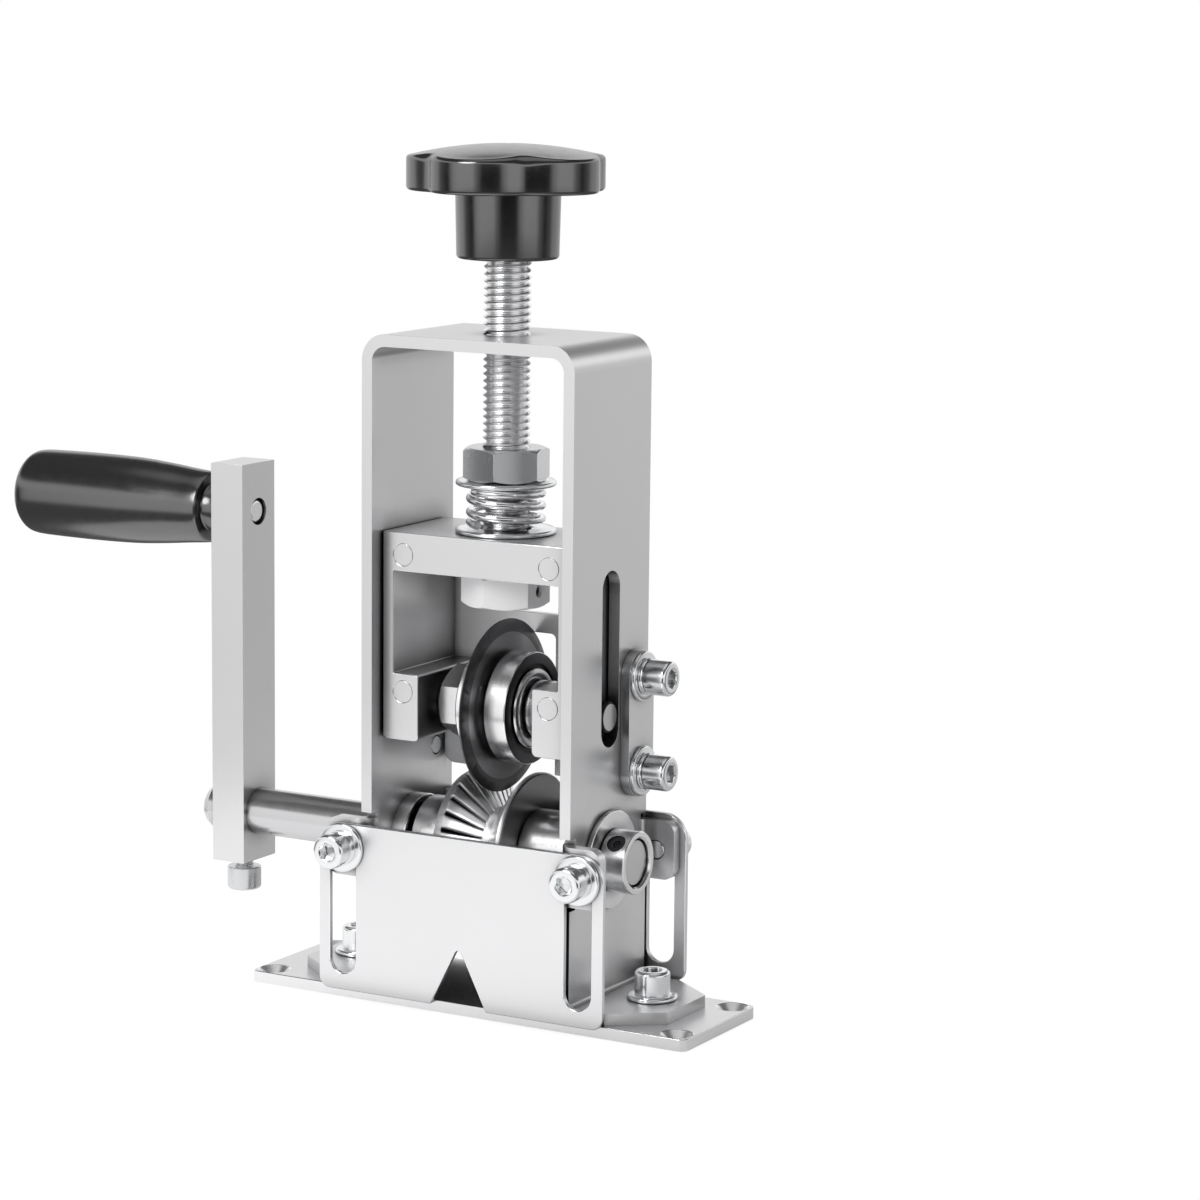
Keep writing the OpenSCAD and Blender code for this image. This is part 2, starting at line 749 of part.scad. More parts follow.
// The notch for the wire, from below the plate's lower edge up to its rounded tip
module notch_outline() {
    tip_z = (notch_half_w * cos(notch_angle) - notch_tip_r) / sin(notch_angle);
    low_x = notch_half_w + over * tan(notch_angle);
    tip = [for (i = [0 : 8])
        let (a = notch_angle + i * (180 - 2 * notch_angle) / 8)
        [notch_tip_r * cos(a), tip_z + notch_tip_r * sin(a)]];
    polygon(concat([[low_x, -over]], tip, [[-low_x, -over]]));
}

module guide_outline() {
    slot_r = guide_slot_w / 2;
    difference() {
        round_rect(guide_w, guide_h, guide_low_r, guide_high_r);
        notch_outline();
        for (x = [-guide_screw_x, guide_screw_x]) {
            translate([x, guide_slot_low + slot_r]) circle(slot_r);
            translate([x, guide_slot_high - slot_r]) circle(slot_r);
            translate([x - slot_r, guide_slot_low + slot_r])
                square([guide_slot_w, guide_slot_high - guide_slot_low - guide_slot_w]);
        }
    }
}

module front_guide_plate() {
    color("gainsboro") in_frame() translate([0, 0, guide_low])
        upright(-guide_plane - guide_t, -guide_plane) guide_outline();
}

module rear_guide_plate() {
    color("gainsboro") in_frame() translate([0, 0, guide_low + rear_guide_lift])
        upright(guide_plane, guide_plane + guide_t) guide_outline();
}

// Pieces on the four guide screws, front and rear, pointing away from the frame
module at_guide_screws(seat_y) {
    in_frame() for (x = [-1, 1], y = [0, 1])
        mirror([0, y, 0]) translate([x * guide_screw_x, -seat_y, guide_screw_z])
            rotate([90, 0, 0]) children();
}

module guide_screws() {
    color("gainsboro") at_guide_screws(guide_plane + guide_t + washer_t) cap_screw(guide_stack);
}

module guide_washers() {
    color("gainsboro") at_guide_screws(guide_plane + guide_t) washer(washer_d, washer_t, hole_r);
}

// Drive line

module shaft_bush() {
    difference() {
        union() {
            along_x(bush_d / 2, bush_in, wall_out + over / 2);
            along_x(bush_flange_d / 2, wall_out, bush_out);
        }
        along_x(shaft_r + run_fit, bush_in - over, bush_out + over);
    }
}

module on_shaft() {
    translate([0, frame_back, shaft_z]) children();
}

module shaft_bush_right() {
    color("silver") on_shaft() shaft_bush();
}

module shaft_bush_left() {
    color("silver") on_shaft() mirror([1, 0, 0]) shaft_bush();
}

module drive_shaft() {
    dome_r = shaft_r - 2 * shaft_chamfer;
    color("silver") on_shaft() difference() {
        turned_on_x([[0, shaft_end], [dome_r - shaft_chamfer, shaft_end + shaft_chamfer],
            [dome_r, shaft_end + 2 * shaft_chamfer], [shaft_r, shaft_end + shaft_end_l / 2],
            [shaft_r, collar_out - shaft_chamfer], [shaft_r - shaft_chamfer, collar_out],
            [0, collar_out]]);
        key_space(seat_fit);
    }
}

// The key lies half in the shaft and half in the wheels, at the side away from the blade
module key_space(play) {
    half = key_w / 2 + play;
    x_from = -ribbed_wheel_w + over;
    x_to = plain_wheel_w - over;
    translate([x_from - play, -half, -shaft_r - half])
        cube([x_to - x_from + 2 * play, 2 * half, 2 * half]);
}

module wheel_key() {
    color("dimgray") on_shaft() key_space(0);
}

// One cut between two ribs, along the wheel's cone and shallower towards the groove's floor
module rib_cut() {
    cone_dx = ribbed_wheel_w - ribbed_bevel_w - groove_floor_w / 2;
    cone_dr = ribbed_wheel_r - groove_floor_r;
    cone_l = norm([cone_dx, cone_dr]);
    lean = atan2(rib_depth - rib_depth_inner, cone_l);
    cut_angle = atan2(cone_dx, -cone_dr) + lean;
    cut_h = rib_depth + over;
    cut_half_w = cut_h * tan(40);
    normal = [cone_dr, cone_dx] / cone_l;
    start = [-ribbed_wheel_w + ribbed_bevel_w, ribbed_wheel_r] - rib_depth * normal;
    translate([start[0], 0, start[1]]) rotate([0, cut_angle, 0]) translate([0, 0, -over])
        linear_extrude(cone_l + over)
            polygon([[0, 0], [-cut_h, cut_half_w], [-cut_h, -cut_half_w]]);
}

module ribbed_wheel() {
    bore_r = shaft_r + seat_fit;
    color("gray") on_shaft() difference() {
        turned_on_x([[bore_r, -ribbed_wheel_w], [ribbed_wheel_r - ribbed_bevel_h, -ribbed_wheel_w],
            [ribbed_wheel_r, -ribbed_wheel_w + ribbed_bevel_w],
            [groove_floor_r, -groove_floor_w / 2], [groove_floor_r, 0], [bore_r, 0]]);
        key_space(seat_fit);
        for (i = [0 : rib_count - 1]) rotate([i * 360 / rib_count, 0, 0]) rib_cut();
    }
}

module plain_wheel() {
    bore_r = shaft_r + seat_fit;
    color("gray") on_shaft() difference() {
        turned_on_x([[bore_r, 0], [groove_floor_r, 0], [groove_floor_r, groove_floor_w / 2],
            [plain_wheel_r - plain_bevel, plain_wheel_w - 3 * plain_bevel],
            [plain_wheel_r, plain_wheel_w - 2 * plain_bevel],
            [plain_wheel_r, plain_wheel_w - plain_bevel],
            [plain_wheel_r - plain_bevel, plain_wheel_w], [bore_r, plain_wheel_w]]);
        key_space(seat_fit);
    }
}

module spacer_left() {
    color("silver") on_shaft()
        ring_x(spacer_d / 2, shaft_r + seat_fit, -bush_in + spacer_left_gap, -ribbed_wheel_w);
}

module spacer_right() {
    color("silver") on_shaft()
        ring_x(spacer_d / 2, shaft_r + seat_fit, plain_wheel_w, bush_in - ease);
}

// Turns a piece from upright to the direction of the collar's set screw
module at_collar_screw() {
    on_shaft() translate([(collar_in + collar_out) / 2, 0, 0])
        rotate([collar_screw_lean, 0, 0]) children();
}

module shaft_collar() {
    color("gainsboro") difference() {
        on_shaft() turned_on_x([[shaft_r + seat_fit, collar_in], [collar_r, collar_in],
            [collar_r, collar_out - shaft_chamfer / 2], [collar_r - shaft_chamfer / 2, collar_out],
            [shaft_r + shaft_chamfer, collar_out], [shaft_r + seat_fit, collar_out - shaft_chamfer]]);
        at_collar_screw() cylinder(d = collar_screw_d + 2 * seat_fit, h = collar_r + over);
    }
}

module collar_set_screw() {
    wall = collar_r - shaft_r;
    color("dimgray") at_collar_screw() translate([0, 0, shaft_r + run_fit]) difference() {
        cylinder(d = collar_screw_d, h = wall * 2 / 3);
        translate([0, 0, wall / 3]) cylinder(d = collar_screw_d / 2, h = wall, $fn = 6);
    }
}

// Crank

module crank_arm() {
    color("gainsboro") in_frame() difference() {
        translate([arm_out, -arm_w / 2, arm_low])
            cube([arm_t, arm_w, handle_z + arm_over_handle - arm_low]);
        translate([0, 0, shaft_z]) along_x(shaft_r + seat_fit, arm_out - over, arm_in + over);
        translate([0, 0, handle_z]) {
            along_x(handle_axle_d / 2 + seat_fit, arm_out - over, arm_in + over);
            along_x(handle_recess_d / 2, arm_in - handle_recess, arm_in + over);
        }
        translate([arm_mid, 0, arm_low - over]) cylinder(r = hole_r, h = shaft_z - arm_low);
    }
}

// The clamp screw points down, with its tip on the shaft
module arm_clamp_screw() {
    seat_z = arm_low - clamp_neck;
    color("gainsboro") in_frame() translate([arm_mid, 0, seat_z]) mirror([0, 0, 1])
        cap_screw(shaft_z - shaft_r - run_fit - seat_z);
}

module on_handle() {
    translate([0, frame_back, handle_z]) children();
}

module handle_axle() {
    axle_tip = arm_in - handle_recess;
    axle_r = handle_axle_d / 2;
    color("silver") on_handle() {
        turned_on_x([[0, handle_head_in - over], [axle_r, handle_head_in - over],
            [axle_r, axle_tip - shaft_chamfer], [axle_r - shaft_chamfer, axle_tip], [0, axle_tip]]);
        along_x(handle_head_d / 2, grip_out + ease, handle_head_in);
    }
}

// The grip swells from its neck to its rounded outer end. Each point is a share of the length past
// the neck and a share of the largest radius.
grip_outline_shares = [[0, 0.76], [0.01, 0.8], [0.125, 0.855], [0.25, 0.92], [0.41, 0.98],
    [0.62, 1], [0.85, 0.99], [0.93, 0.93], [0.975, 0.82], [1, 0.66]];

module handle_grip() {
    swell_l = grip_l - grip_neck_l;
    shoulder = grip_in - grip_neck_l;
    bore_r = handle_axle_d / 2 + run_fit;
    head_space_r = handle_head_d / 2 + ease;
    swell = [for (p = grip_outline_shares) [p[1] * grip_d / 2, shoulder - p[0] * swell_l]];
    inner = [[head_space_r, grip_out], [head_space_r, handle_head_in + ease],
        [bore_r, handle_head_in + ease], [bore_r, grip_in]];
    color("#202020") on_handle()
        turned_on_x(concat([[grip_neck_d / 2, grip_in], [grip_neck_d / 2, shoulder]], swell, inner));
}

// Blade line

module on_axle() {
    translate([0, frame_back, axle_z]) children();
}

module blade_axle() {
    end_r = axle_r - axle_chamfer;
    color("silver") on_axle() turned_on_x([[0, -wall_out], [end_r, -wall_out],
        [axle_r, -wall_out + axle_chamfer], [axle_r, wall_out - axle_chamfer], [end_r, wall_out],
        [0, wall_out]]);
}

module cutting_blade() {
    r = blade_d / 2;
    flat_r = r - blade_bevel_w;
    edge = blade_edge_t / 2;
    color("dimgray") on_axle() turned_on_x([[blade_bore_d / 2, -blade_half_t],
        [flat_r, -blade_half_t], [r, -edge], [r, edge], [flat_r, blade_half_t],
        [blade_bore_d / 2, blade_half_t]]);
}

module blade_flange() {
    color("silver") on_axle()
        ring_x(flange_d / 2, hub_thread_d / 2 + seat_fit, flange_out, -blade_half_t);
}

module blade_nut() {
    color("silver") on_axle() translate([blade_nut_out, 0, 0]) rotate([0, 90, 0])
        hex_nut(blade_nut_af, blade_nut_h, hub_thread_d / 2 + seat_fit);
}

// The hub is turned from one piece: thread, blade seat, shoulder, and the ring round the bearing
module blade_hub() {
    bore_r = axle_r + run_fit;
    thread_r = hub_thread_d / 2;
    seat_r = blade_bore_d / 2 - seat_fit;
    recess_r = hub_bearing_d / 2 + seat_fit;
    color("silver") on_axle() turned_on_x([[bore_r, blade_nut_out], [thread_r, blade_nut_out],
        [thread_r, -blade_half_t], [seat_r, -blade_half_t], [seat_r, blade_half_t],
        [hub_shoulder_d / 2, blade_half_t], [hub_shoulder_d / 2, ring_in],
        [hub_ring_d / 2, ring_in], [hub_ring_d / 2, ring_out], [recess_r, ring_out],
        [recess_r, hub_recess_in], [bore_r, hub_recess_in]]);
}

module hub_bearing() {
    color("#303030") on_axle()
        ring_x(hub_bearing_d / 2, inner_ring_d / 2 + run_fit, hub_recess_in, ring_out - ease);
}

module bearing_inner_ring() {
    color("silver") on_axle()
        ring_x(inner_ring_d / 2, axle_r + seat_fit, hub_recess_in + ease, inner_ring_out);
}

module axle_sleeve() {
    color("gainsboro") on_axle()
        ring_x(sleeve_d / 2, axle_r + seat_fit, inner_ring_out, carriage_foot_in);
}

module axle_spacer() {
    color("silver") on_axle()
        ring_x(axle_spacer_d / 2, axle_r + seat_fit, -carriage_foot_in, blade_nut_out - ease);
}

// Carriage

module carriage_outline() {
    leg_in = carriage_half_w - carriage_leg_t;
    foot_h = carriage_foot_top - carriage_low;
    foot_x = carriage_half_w - carriage_foot_w / 2;
    edge_r = carriage_corner_r / 2;
    leg_low = carriage_low + foot_h / 2;
    translate([-carriage_half_w, carriage_bar_low]) square([2 * carriage_half_w, carriage_bar_h]);
    for (side = [-1, 1]) {
        translate([side * foot_x, carriage_low])
            round_rect(carriage_foot_w, foot_h, carriage_corner_r, edge_r);
        translate([side > 0 ? leg_in : -carriage_half_w, leg_low])
            square([carriage_leg_t, carriage_top - leg_low]);
    }
}

// Pieces at the four pins, seen from the front
module at_pins() {
    in_frame() for (x = [-1, 1], z = [pin_low_z, pin_high_z])
        translate([x * pin_x, 0, z]) children();
}

module blade_carriage() {
    color("silver") difference() {
        in_frame() upright(-carriage_half_d, carriage_half_d) carriage_outline();
        on_axle() along_x(axle_r + seat_fit, -wall_in, wall_in);
        in_frame() translate([0, 0, carriage_bar_low - over])
            cylinder(r = rod_r + ease, h = carriage_bar_h + 2 * over);
        at_pins() {
            along_y(pin_d / 2 + seat_fit, -carriage_half_d - over, pin_l - carriage_half_d);
            along_y(pin_d / 2 + seat_fit, carriage_half_d - pin_l, carriage_half_d + over);
        }
    }
}

module carriage_pins() {
    color("gray") at_pins() along_y(pin_d / 2, -carriage_half_d, pin_l - carriage_half_d);
}

module guard_outline() {
    guard_low = axle_z - guard_below;
    notch_h = guard_below + guard_notch_above;
    ear_top = carriage_top - (carriage_bar_h - pin_d) / 4;
    full_h = ear_top - guard_low;
    gap_low = axle_z + guard_above;
    difference() {
        translate([0, guard_low])
            round_rect(2 * carriage_half_w, full_h, guard_corner_r, guard_corner_r / 2);
        translate([0, guard_low - 2 * over])
            round_rect(2 * guard_notch_half_w, notch_h + 2 * over, over, guard_notch_r);
        translate([-guard_ear_half_gap, gap_low])
            square([2 * guard_ear_half_gap, ear_top - gap_low + over]);
    }
}

module blade_guard() {
    color("silver") difference() {
        in_frame() upright(carriage_half_d, guard_half_d) guard_outline();
        at_pins() along_y(pin_d / 2 + seat_fit, carriage_half_d - over, guard_half_d + over);
    }
}

module guard_pins() {
    color("gray") at_pins() along_y(pin_d / 2, carriage_half_d - pin_l, guard_half_d);
}

// Feed screw with its nuts, washers and spring

module feed_screw() {
    color("silver") in_frame() translate([0, 0, rod_low])
        cylinder(r = rod_r, h = knob_low + insert_h - tip_play - over - rod_low);
}

module upper_nut() {
    color("gainsboro") in_frame() translate([0, 0, upper_nut_low]) rotate([0, 0, upper_nut_turn])
        hex_nut(nut_af, nut_h, rod_r + seat_fit);
}

module lower_nut() {
    color("gainsboro") in_frame() difference() {
        translate([0, 0, lower_nut_low]) rotate([0, 0, lower_nut_turn])
            hex_nut(nut_af, nut_h, rod_r + seat_fit);
        at_nut_screw() cylinder(d = nut_screw_d + 2 * seat_fit, h = nut_af);
    }
}

// The set screw goes in through the flat that faces the plain wheel's side
module at_nut_screw() {
    translate([0, 0, lower_nut_low + nut_h / 2])
        rotate([0, 90, lower_nut_turn + 30]) children();
}

module nut_set_screw() {
    wall = nut_af / 2 - rod_r;
    color("dimgray") in_frame() at_nut_screw() translate([0, 0, rod_r + run_fit]) difference() {
        cylinder(d = nut_screw_d, h = wall * 3 / 4);
        translate([0, 0, wall / 2]) cylinder(d = nut_screw_d / 2, h = wall, $fn = 6);
    }
}

module spring_top_washer() {
    color("gainsboro") in_frame() translate([0, 0, spring_high])
        washer(seat_d, seat_t, rod_r + ease);
}

module spring_seat_washer() {
    color("gainsboro") in_frame() translate([0, 0, carriage_top])
        washer(seat_d, seat_t, rod_r + ease);
}

// Middle of the spring wire at ring i
function spring_mid(i) =
    let (turn = i * 360 * spring_turns / spring_ring_count)
    [spring_mid_r * cos(turn), spring_mid_r * sin(turn),
        spring_low + spring_wire_d / 2 + run_fit + spring_rise * i / spring_ring_count];

// Point k of ring i, on a circle square to the helix
function spring_point(i, k) =
    let (turn = i * 360 * spring_turns / spring_ring_count)
    let (side = k * 360 / spring_sides)
    let (out = [cos(turn), sin(turn), 0])
    let (up = [sin(turn) * sin(spring_slope), -cos(turn) * sin(spring_slope), cos(spring_slope)])
    spring_mid(i) + spring_wire_d / 2 * (cos(side) * out + sin(side) * up);

// Least gap between turns, from the middles of the wire a turn apart
spring_gaps = [for (i = [0 : spring_ring_count / spring_turns / 2 : spring_ring_count])
    for (j = [i + spring_ring_count / spring_turns / 2 : spring_ring_count])
        norm(spring_mid(i) - spring_mid(j)) - spring_wire_d];
echo(least_spring_gap = min(spring_gaps));

module compression_spring() {
    points = [for (i = [0 : spring_ring_count], k = [0 : spring_sides - 1]) spring_point(i, k)];
    last = spring_ring_count * spring_sides;
    walls = [for (i = [0 : spring_ring_count - 1], k = [0 : spring_sides - 1])
        let (a = i * spring_sides + k)
        let (b = i * spring_sides + (k + 1) % spring_sides)
        each [[a, a + spring_sides, b], [b, a + spring_sides, b + spring_sides]]];
    start_cap = [for (k = [1 : spring_sides - 2]) [0, k, k + 1]];
    end_cap = [for (k = [1 : spring_sides - 2]) [last, last + k + 1, last + k]];
    color("gainsboro") in_frame() polyhedron(points, concat(walls, start_cap, end_cap));
}

// Star knob

// Broad lobes, with a rounded hollow between each two that touches both of them
module star_outline() {
    step = 360 / knob_lobes;
    lobe_mid = knob_d / 2 - lobe_r;
    mid_off = lobe_mid * sin(step / 2);
    hollow_mid = lobe_mid * cos(step / 2) + sqrt(pow(lobe_r + hollow_r, 2) - pow(mid_off, 2));
    share = lobe_r / (lobe_r + hollow_r);
    touch_x = lobe_mid + share * (hollow_mid * cos(step / 2) - lobe_mid);
    touch_y = share * hollow_mid * sin(step / 2);
    touches = [for (i = [0 : knob_lobes - 1], side = [-touch_y, touch_y])
        let (a = i * step)
        [touch_x * cos(a) - side * sin(a), touch_x * sin(a) + side * cos(a)]];
    difference() {
        union() {
            polygon(touches);
            for (i = [0 : knob_lobes - 1]) rotate(i * step) translate([lobe_mid, 0]) circle(lobe_r);
        }
        for (i = [0 : knob_lobes - 1]) rotate((i + 0.5) * step) translate([hollow_mid, 0])
            circle(hollow_r);
    }
}

// Side view of the star: rounded edges and a domed top, as points of radius and height
module star_side() {
    r = knob_d / 2;
    dome_r = r - knob_edge;
    sphere_r = (dome_r * dome_r + knob_dome_h * knob_dome_h) / (2 * knob_dome_h);
    dome = [for (i = [0 : 12])
        let (x = dome_r * (1 - i / 12))
        [x, star_rim + knob_dome_h - sphere_r + sqrt(sphere_r * sphere_r - x * x)]];
    rotate_extrude() polygon(concat([[0, star_low], [r - knob_edge, star_low],
        [r, star_low + knob_edge], [r, star_rim - knob_edge]], dome));
}

module star_knob() {
    color("#202020") in_frame() difference() {
        union() {
            intersection() {
                translate([0, 0, star_low]) linear_extrude(knob_top - star_low)
                    rotate(knob_turn) star_outline();
                star_side();
            }
            translate([0, 0, knob_low])
                cylinder(d1 = knob_hub_low_d, d2 = knob_hub_d, h = knob_hub_h + over / 2);
        }
        translate([0, 0, knob_low - over]) cylinder(r = insert_d / 2 + seat_fit, h = insert_h + over);
        cylinder(r = insert_tip_d / 2 + seat_fit, h = knob_top + over);
    }
}

module knob_insert() {
    color("gainsboro") in_frame() difference() {
        union() {
            translate([0, 0, knob_low]) cylinder(d = insert_d, h = insert_h);
            translate([0, 0, knob_low]) cylinder(d = insert_tip_d, h = knob_top - knob_low);
        }
        translate([0, 0, knob_low - over]) cylinder(r = rod_r + seat_fit, h = insert_h);
    }
}

base_plate();
frame_strap();
foot_screws();
foot_washers();
shaft_bush_left();
shaft_bush_right();
side_strip_left();
side_strip_right();
strip_screws();
strip_washers();
strip_lock_washers();
guide_screws();
guide_washers();
front_guide_plate();
rear_guide_plate();
star_knob();
knob_insert();
feed_screw();
upper_nut();
lower_nut();
nut_set_screw();
spring_top_washer();
compression_spring();
spring_seat_washer();
blade_carriage();
carriage_pins();
blade_guard();
guard_pins();
blade_axle();
axle_spacer();
axle_sleeve();
bearing_inner_ring();
hub_bearing();
blade_hub();
cutting_blade();
blade_flange();
blade_nut();
drive_shaft();
wheel_key();
ribbed_wheel();
plain_wheel();
spacer_left();
spacer_right();
shaft_collar();
collar_set_screw();
crank_arm();
arm_clamp_screw();
handle_axle();
handle_grip();
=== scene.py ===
# %% [markdown]
# A hand crank wire stripper, dressed for a studio photograph.
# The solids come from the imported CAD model, and this script gives each of them the edges, threads and
# finishes of the real piece. Lengths are in metres unless millimetres are named, in the frame of the
# model: X along the drive shaft, with the crank at the negative end, Y to the back, and Z up.

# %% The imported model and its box
import json
import math

import bmesh
import bpy
from mathutils import Matrix, Vector

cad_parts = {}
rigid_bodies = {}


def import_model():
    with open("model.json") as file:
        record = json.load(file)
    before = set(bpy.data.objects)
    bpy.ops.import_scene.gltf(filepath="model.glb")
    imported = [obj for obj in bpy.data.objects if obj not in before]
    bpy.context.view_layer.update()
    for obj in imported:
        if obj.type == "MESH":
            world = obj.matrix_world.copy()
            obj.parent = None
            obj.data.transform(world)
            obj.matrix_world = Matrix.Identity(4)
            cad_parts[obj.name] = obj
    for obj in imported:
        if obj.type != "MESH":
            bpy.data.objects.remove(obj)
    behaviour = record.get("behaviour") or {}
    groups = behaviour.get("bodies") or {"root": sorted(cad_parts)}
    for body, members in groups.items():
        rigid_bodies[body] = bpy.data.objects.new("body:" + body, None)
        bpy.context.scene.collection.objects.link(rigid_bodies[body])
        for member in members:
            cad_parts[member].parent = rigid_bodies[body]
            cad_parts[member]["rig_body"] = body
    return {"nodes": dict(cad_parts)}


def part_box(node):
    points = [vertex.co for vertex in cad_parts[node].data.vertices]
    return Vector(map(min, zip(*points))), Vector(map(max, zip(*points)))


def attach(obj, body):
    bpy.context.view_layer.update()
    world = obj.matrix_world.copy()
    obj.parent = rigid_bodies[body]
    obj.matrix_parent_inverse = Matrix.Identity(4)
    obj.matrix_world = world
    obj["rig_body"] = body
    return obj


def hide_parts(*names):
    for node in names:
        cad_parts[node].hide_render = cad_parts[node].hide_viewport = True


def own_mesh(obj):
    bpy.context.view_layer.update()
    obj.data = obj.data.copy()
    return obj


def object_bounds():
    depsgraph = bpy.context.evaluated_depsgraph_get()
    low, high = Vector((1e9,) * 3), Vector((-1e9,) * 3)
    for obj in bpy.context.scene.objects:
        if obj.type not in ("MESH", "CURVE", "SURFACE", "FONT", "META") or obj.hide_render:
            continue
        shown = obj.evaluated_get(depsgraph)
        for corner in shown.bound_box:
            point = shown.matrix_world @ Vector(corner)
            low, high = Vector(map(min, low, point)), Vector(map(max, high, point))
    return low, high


MM = 0.001
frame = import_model()
cad_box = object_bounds()

# %% [markdown]
# Everything turns about four axes: the drive shaft, the blade's axle and the handle run along X, and the
# feed screw stands upright. The middle of a turned piece's box lies on its axis, so the axes can be
# read from the model instead of being typed again.

# %% The four axes


def middle(node):
    low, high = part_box(node)
    return (low + high) / 2


def axis_along_x(node):
    point = middle(node)
    return Vector((0, point.y, point.z))


shaft_axis = axis_along_x("spacer_left")
blade_axis = axis_along_x("cutting_blade")
handle_axis = axis_along_x("handle_axle")
feed_axis = Vector((*middle("feed_screw").xy, 0))
for label, point in (("shaft", shaft_axis), ("blade", blade_axis), ("handle", handle_axis)):
    print(f"{label} axis at Y {point.y / MM:.2f}, Z {point.z / MM:.2f} mm")

# %% [markdown]
# The camera comes first, because the lights are placed by what it sees. It stands well back with a long
# lens, about 29 degrees round to the right and 9 degrees up, so upright edges stay nearly parallel.

# %% The camera
VIEW_AZIMUTH = math.radians(29.379)
VIEW_ELEVATION = math.radians(9.325)
VIEW_ROLL = math.radians(0.632)
CAMERA_AT = (0.48477, -0.81206, 0.25708)
LENS_LENGTH, FILM_WIDTH = 116.39, 36


def camera_turn(azimuth, elevation, roll):
    right = Vector((math.cos(azimuth), math.sin(azimuth), 0))
    ahead = Vector((-math.sin(azimuth) * math.cos(elevation), math.cos(azimuth) * math.cos(elevation),
                    -math.sin(elevation)))
    up = right.cross(ahead)
    side = right * math.cos(roll) + up * math.sin(roll)
    top = up * math.cos(roll) - right * math.sin(roll)
    return Matrix((side, top, -ahead)).transposed()


def new_object(name, data):
    piece = bpy.data.objects.new(name, data)
    bpy.context.scene.collection.objects.link(piece)
    return piece


lens = bpy.data.cameras.new("studio_camera")
lens.lens = LENS_LENGTH
lens.sensor_width = FILM_WIDTH
camera = new_object("studio_camera", lens)
camera.matrix_world = Matrix.Translation(CAMERA_AT) @ camera_turn(
    VIEW_AZIMUTH, VIEW_ELEVATION, VIEW_ROLL).to_4x4()
bpy.context.scene.camera = camera
bpy.context.scene.view_settings.view_transform = "Standard"
print(f"camera {camera.location.length:.3f} m from the middle of the base plate")

# %% [markdown]
# Every tree below is built in the same way: a node is added, some of its inputs are linked to earlier
# sockets, and the others get plain values. One small class does this for shaders and geometry.

# %% A helper that adds nodes


class Nodes:
    def __init__(self, tree):
        self.tree = tree

    def add(self, kind, inputs=(), out=0, **settings):
        node = self.tree.nodes.new(kind)
        for key, value in settings.items():
            setattr(node, key, value)
        for key, value in dict(inputs).items():
            if isinstance(value, bpy.types.NodeSocket):
                self.tree.links.new(value, node.inputs[key])
            else:
                node.inputs[key].default_value = value
        return node.outputs[out] if len(node.outputs) else node

    def math(self, operation, *values):
        return self.add("ShaderNodeMath", enumerate(values), operation=operation)

    def plus(self, *values):
        return self.math("ADD", *values)

    def minus(self, *values):
        return self.math("SUBTRACT", *values)

    def times(self, *values):
        return self.math("MULTIPLY", *values)

    def over(self, *values):
        return self.math("DIVIDE", *values)

    def vector(self, operation, *values):
        return self.add("ShaderNodeVectorMath", enumerate(values), operation=operation)

    def mix(self, share, first, second, **settings):
        """A mix of two colours, where share 1 gives the second one."""
        return self.add("ShaderNodeMix", {0: share, 6: first, 7: second}, 2, data_type="RGBA",
                        **settings)

    def scaled(self, value, low, high, to_low, to_high, **settings):
        """The value carried from one range to another, and held at its ends."""
        return self.add("ShaderNodeMapRange", {0: value, 1: low, 2: high, 3: to_low, 4: to_high},
                        **settings)

    def parts(self, vector):
        return self.add("ShaderNodeSeparateXYZ", {0: vector}).node.outputs

    def ramp(self, value, stops, interpolation="LINEAR"):
        shade = self.add("ShaderNodeValToRGB", {"Fac": value})
        band = shade.node.color_ramp
        band.interpolation = interpolation
        while len(band.elements) < len(stops):
            band.elements.new(1.0)
        for element, (place, level) in zip(band.elements, stops):
            element.position = place
            element.color = (level, level, level, 1)
        return shade


def empty_tree(owner):
    """The nodes of a material or a world, with nothing in them yet."""
    owner.use_nodes = True
    owner.node_tree.nodes.clear()
    return Nodes(owner.node_tree)


# %% [markdown]
# Polished metal shows its surroundings more than itself, so the studio round the object makes most of
# the picture. Here it is a ring of bright panels and dark gaps, written as an angle from the camera's
# own direction and a level. Overhead the ring gives way to a ceiling, and well below the horizon to one
# plain level. Only glossy rays see all this. Camera rays see plain white, and soft light comes evenly
# from all sides.

# %% The studio seen by glossy rays
PANELS = ((-180, .86), (-140, .92), (-118, .8), (-102, .2), (-86, .05), (-70, .85), (-62, 1), (-32, 1),
          (-22, .4), (-12, .03), (18, .03), (30, .7), (40, 1), (64, .95), (78, .3), (90, .06), (104, .2),
          (121, .68), (150, .76), (180, .86))
CEILING = ((0, 1), (.38, 1), (.47, .1), (.84, .1), (.92, .6), (1, .6))
CEILING_FROM, CEILING_FULL = .1, .24
BELOW = (.18, .18, .18, 1)
BELOW_FULL, BELOW_FROM = -.32, -.2
WHITE = (1, 1, 1, 1)


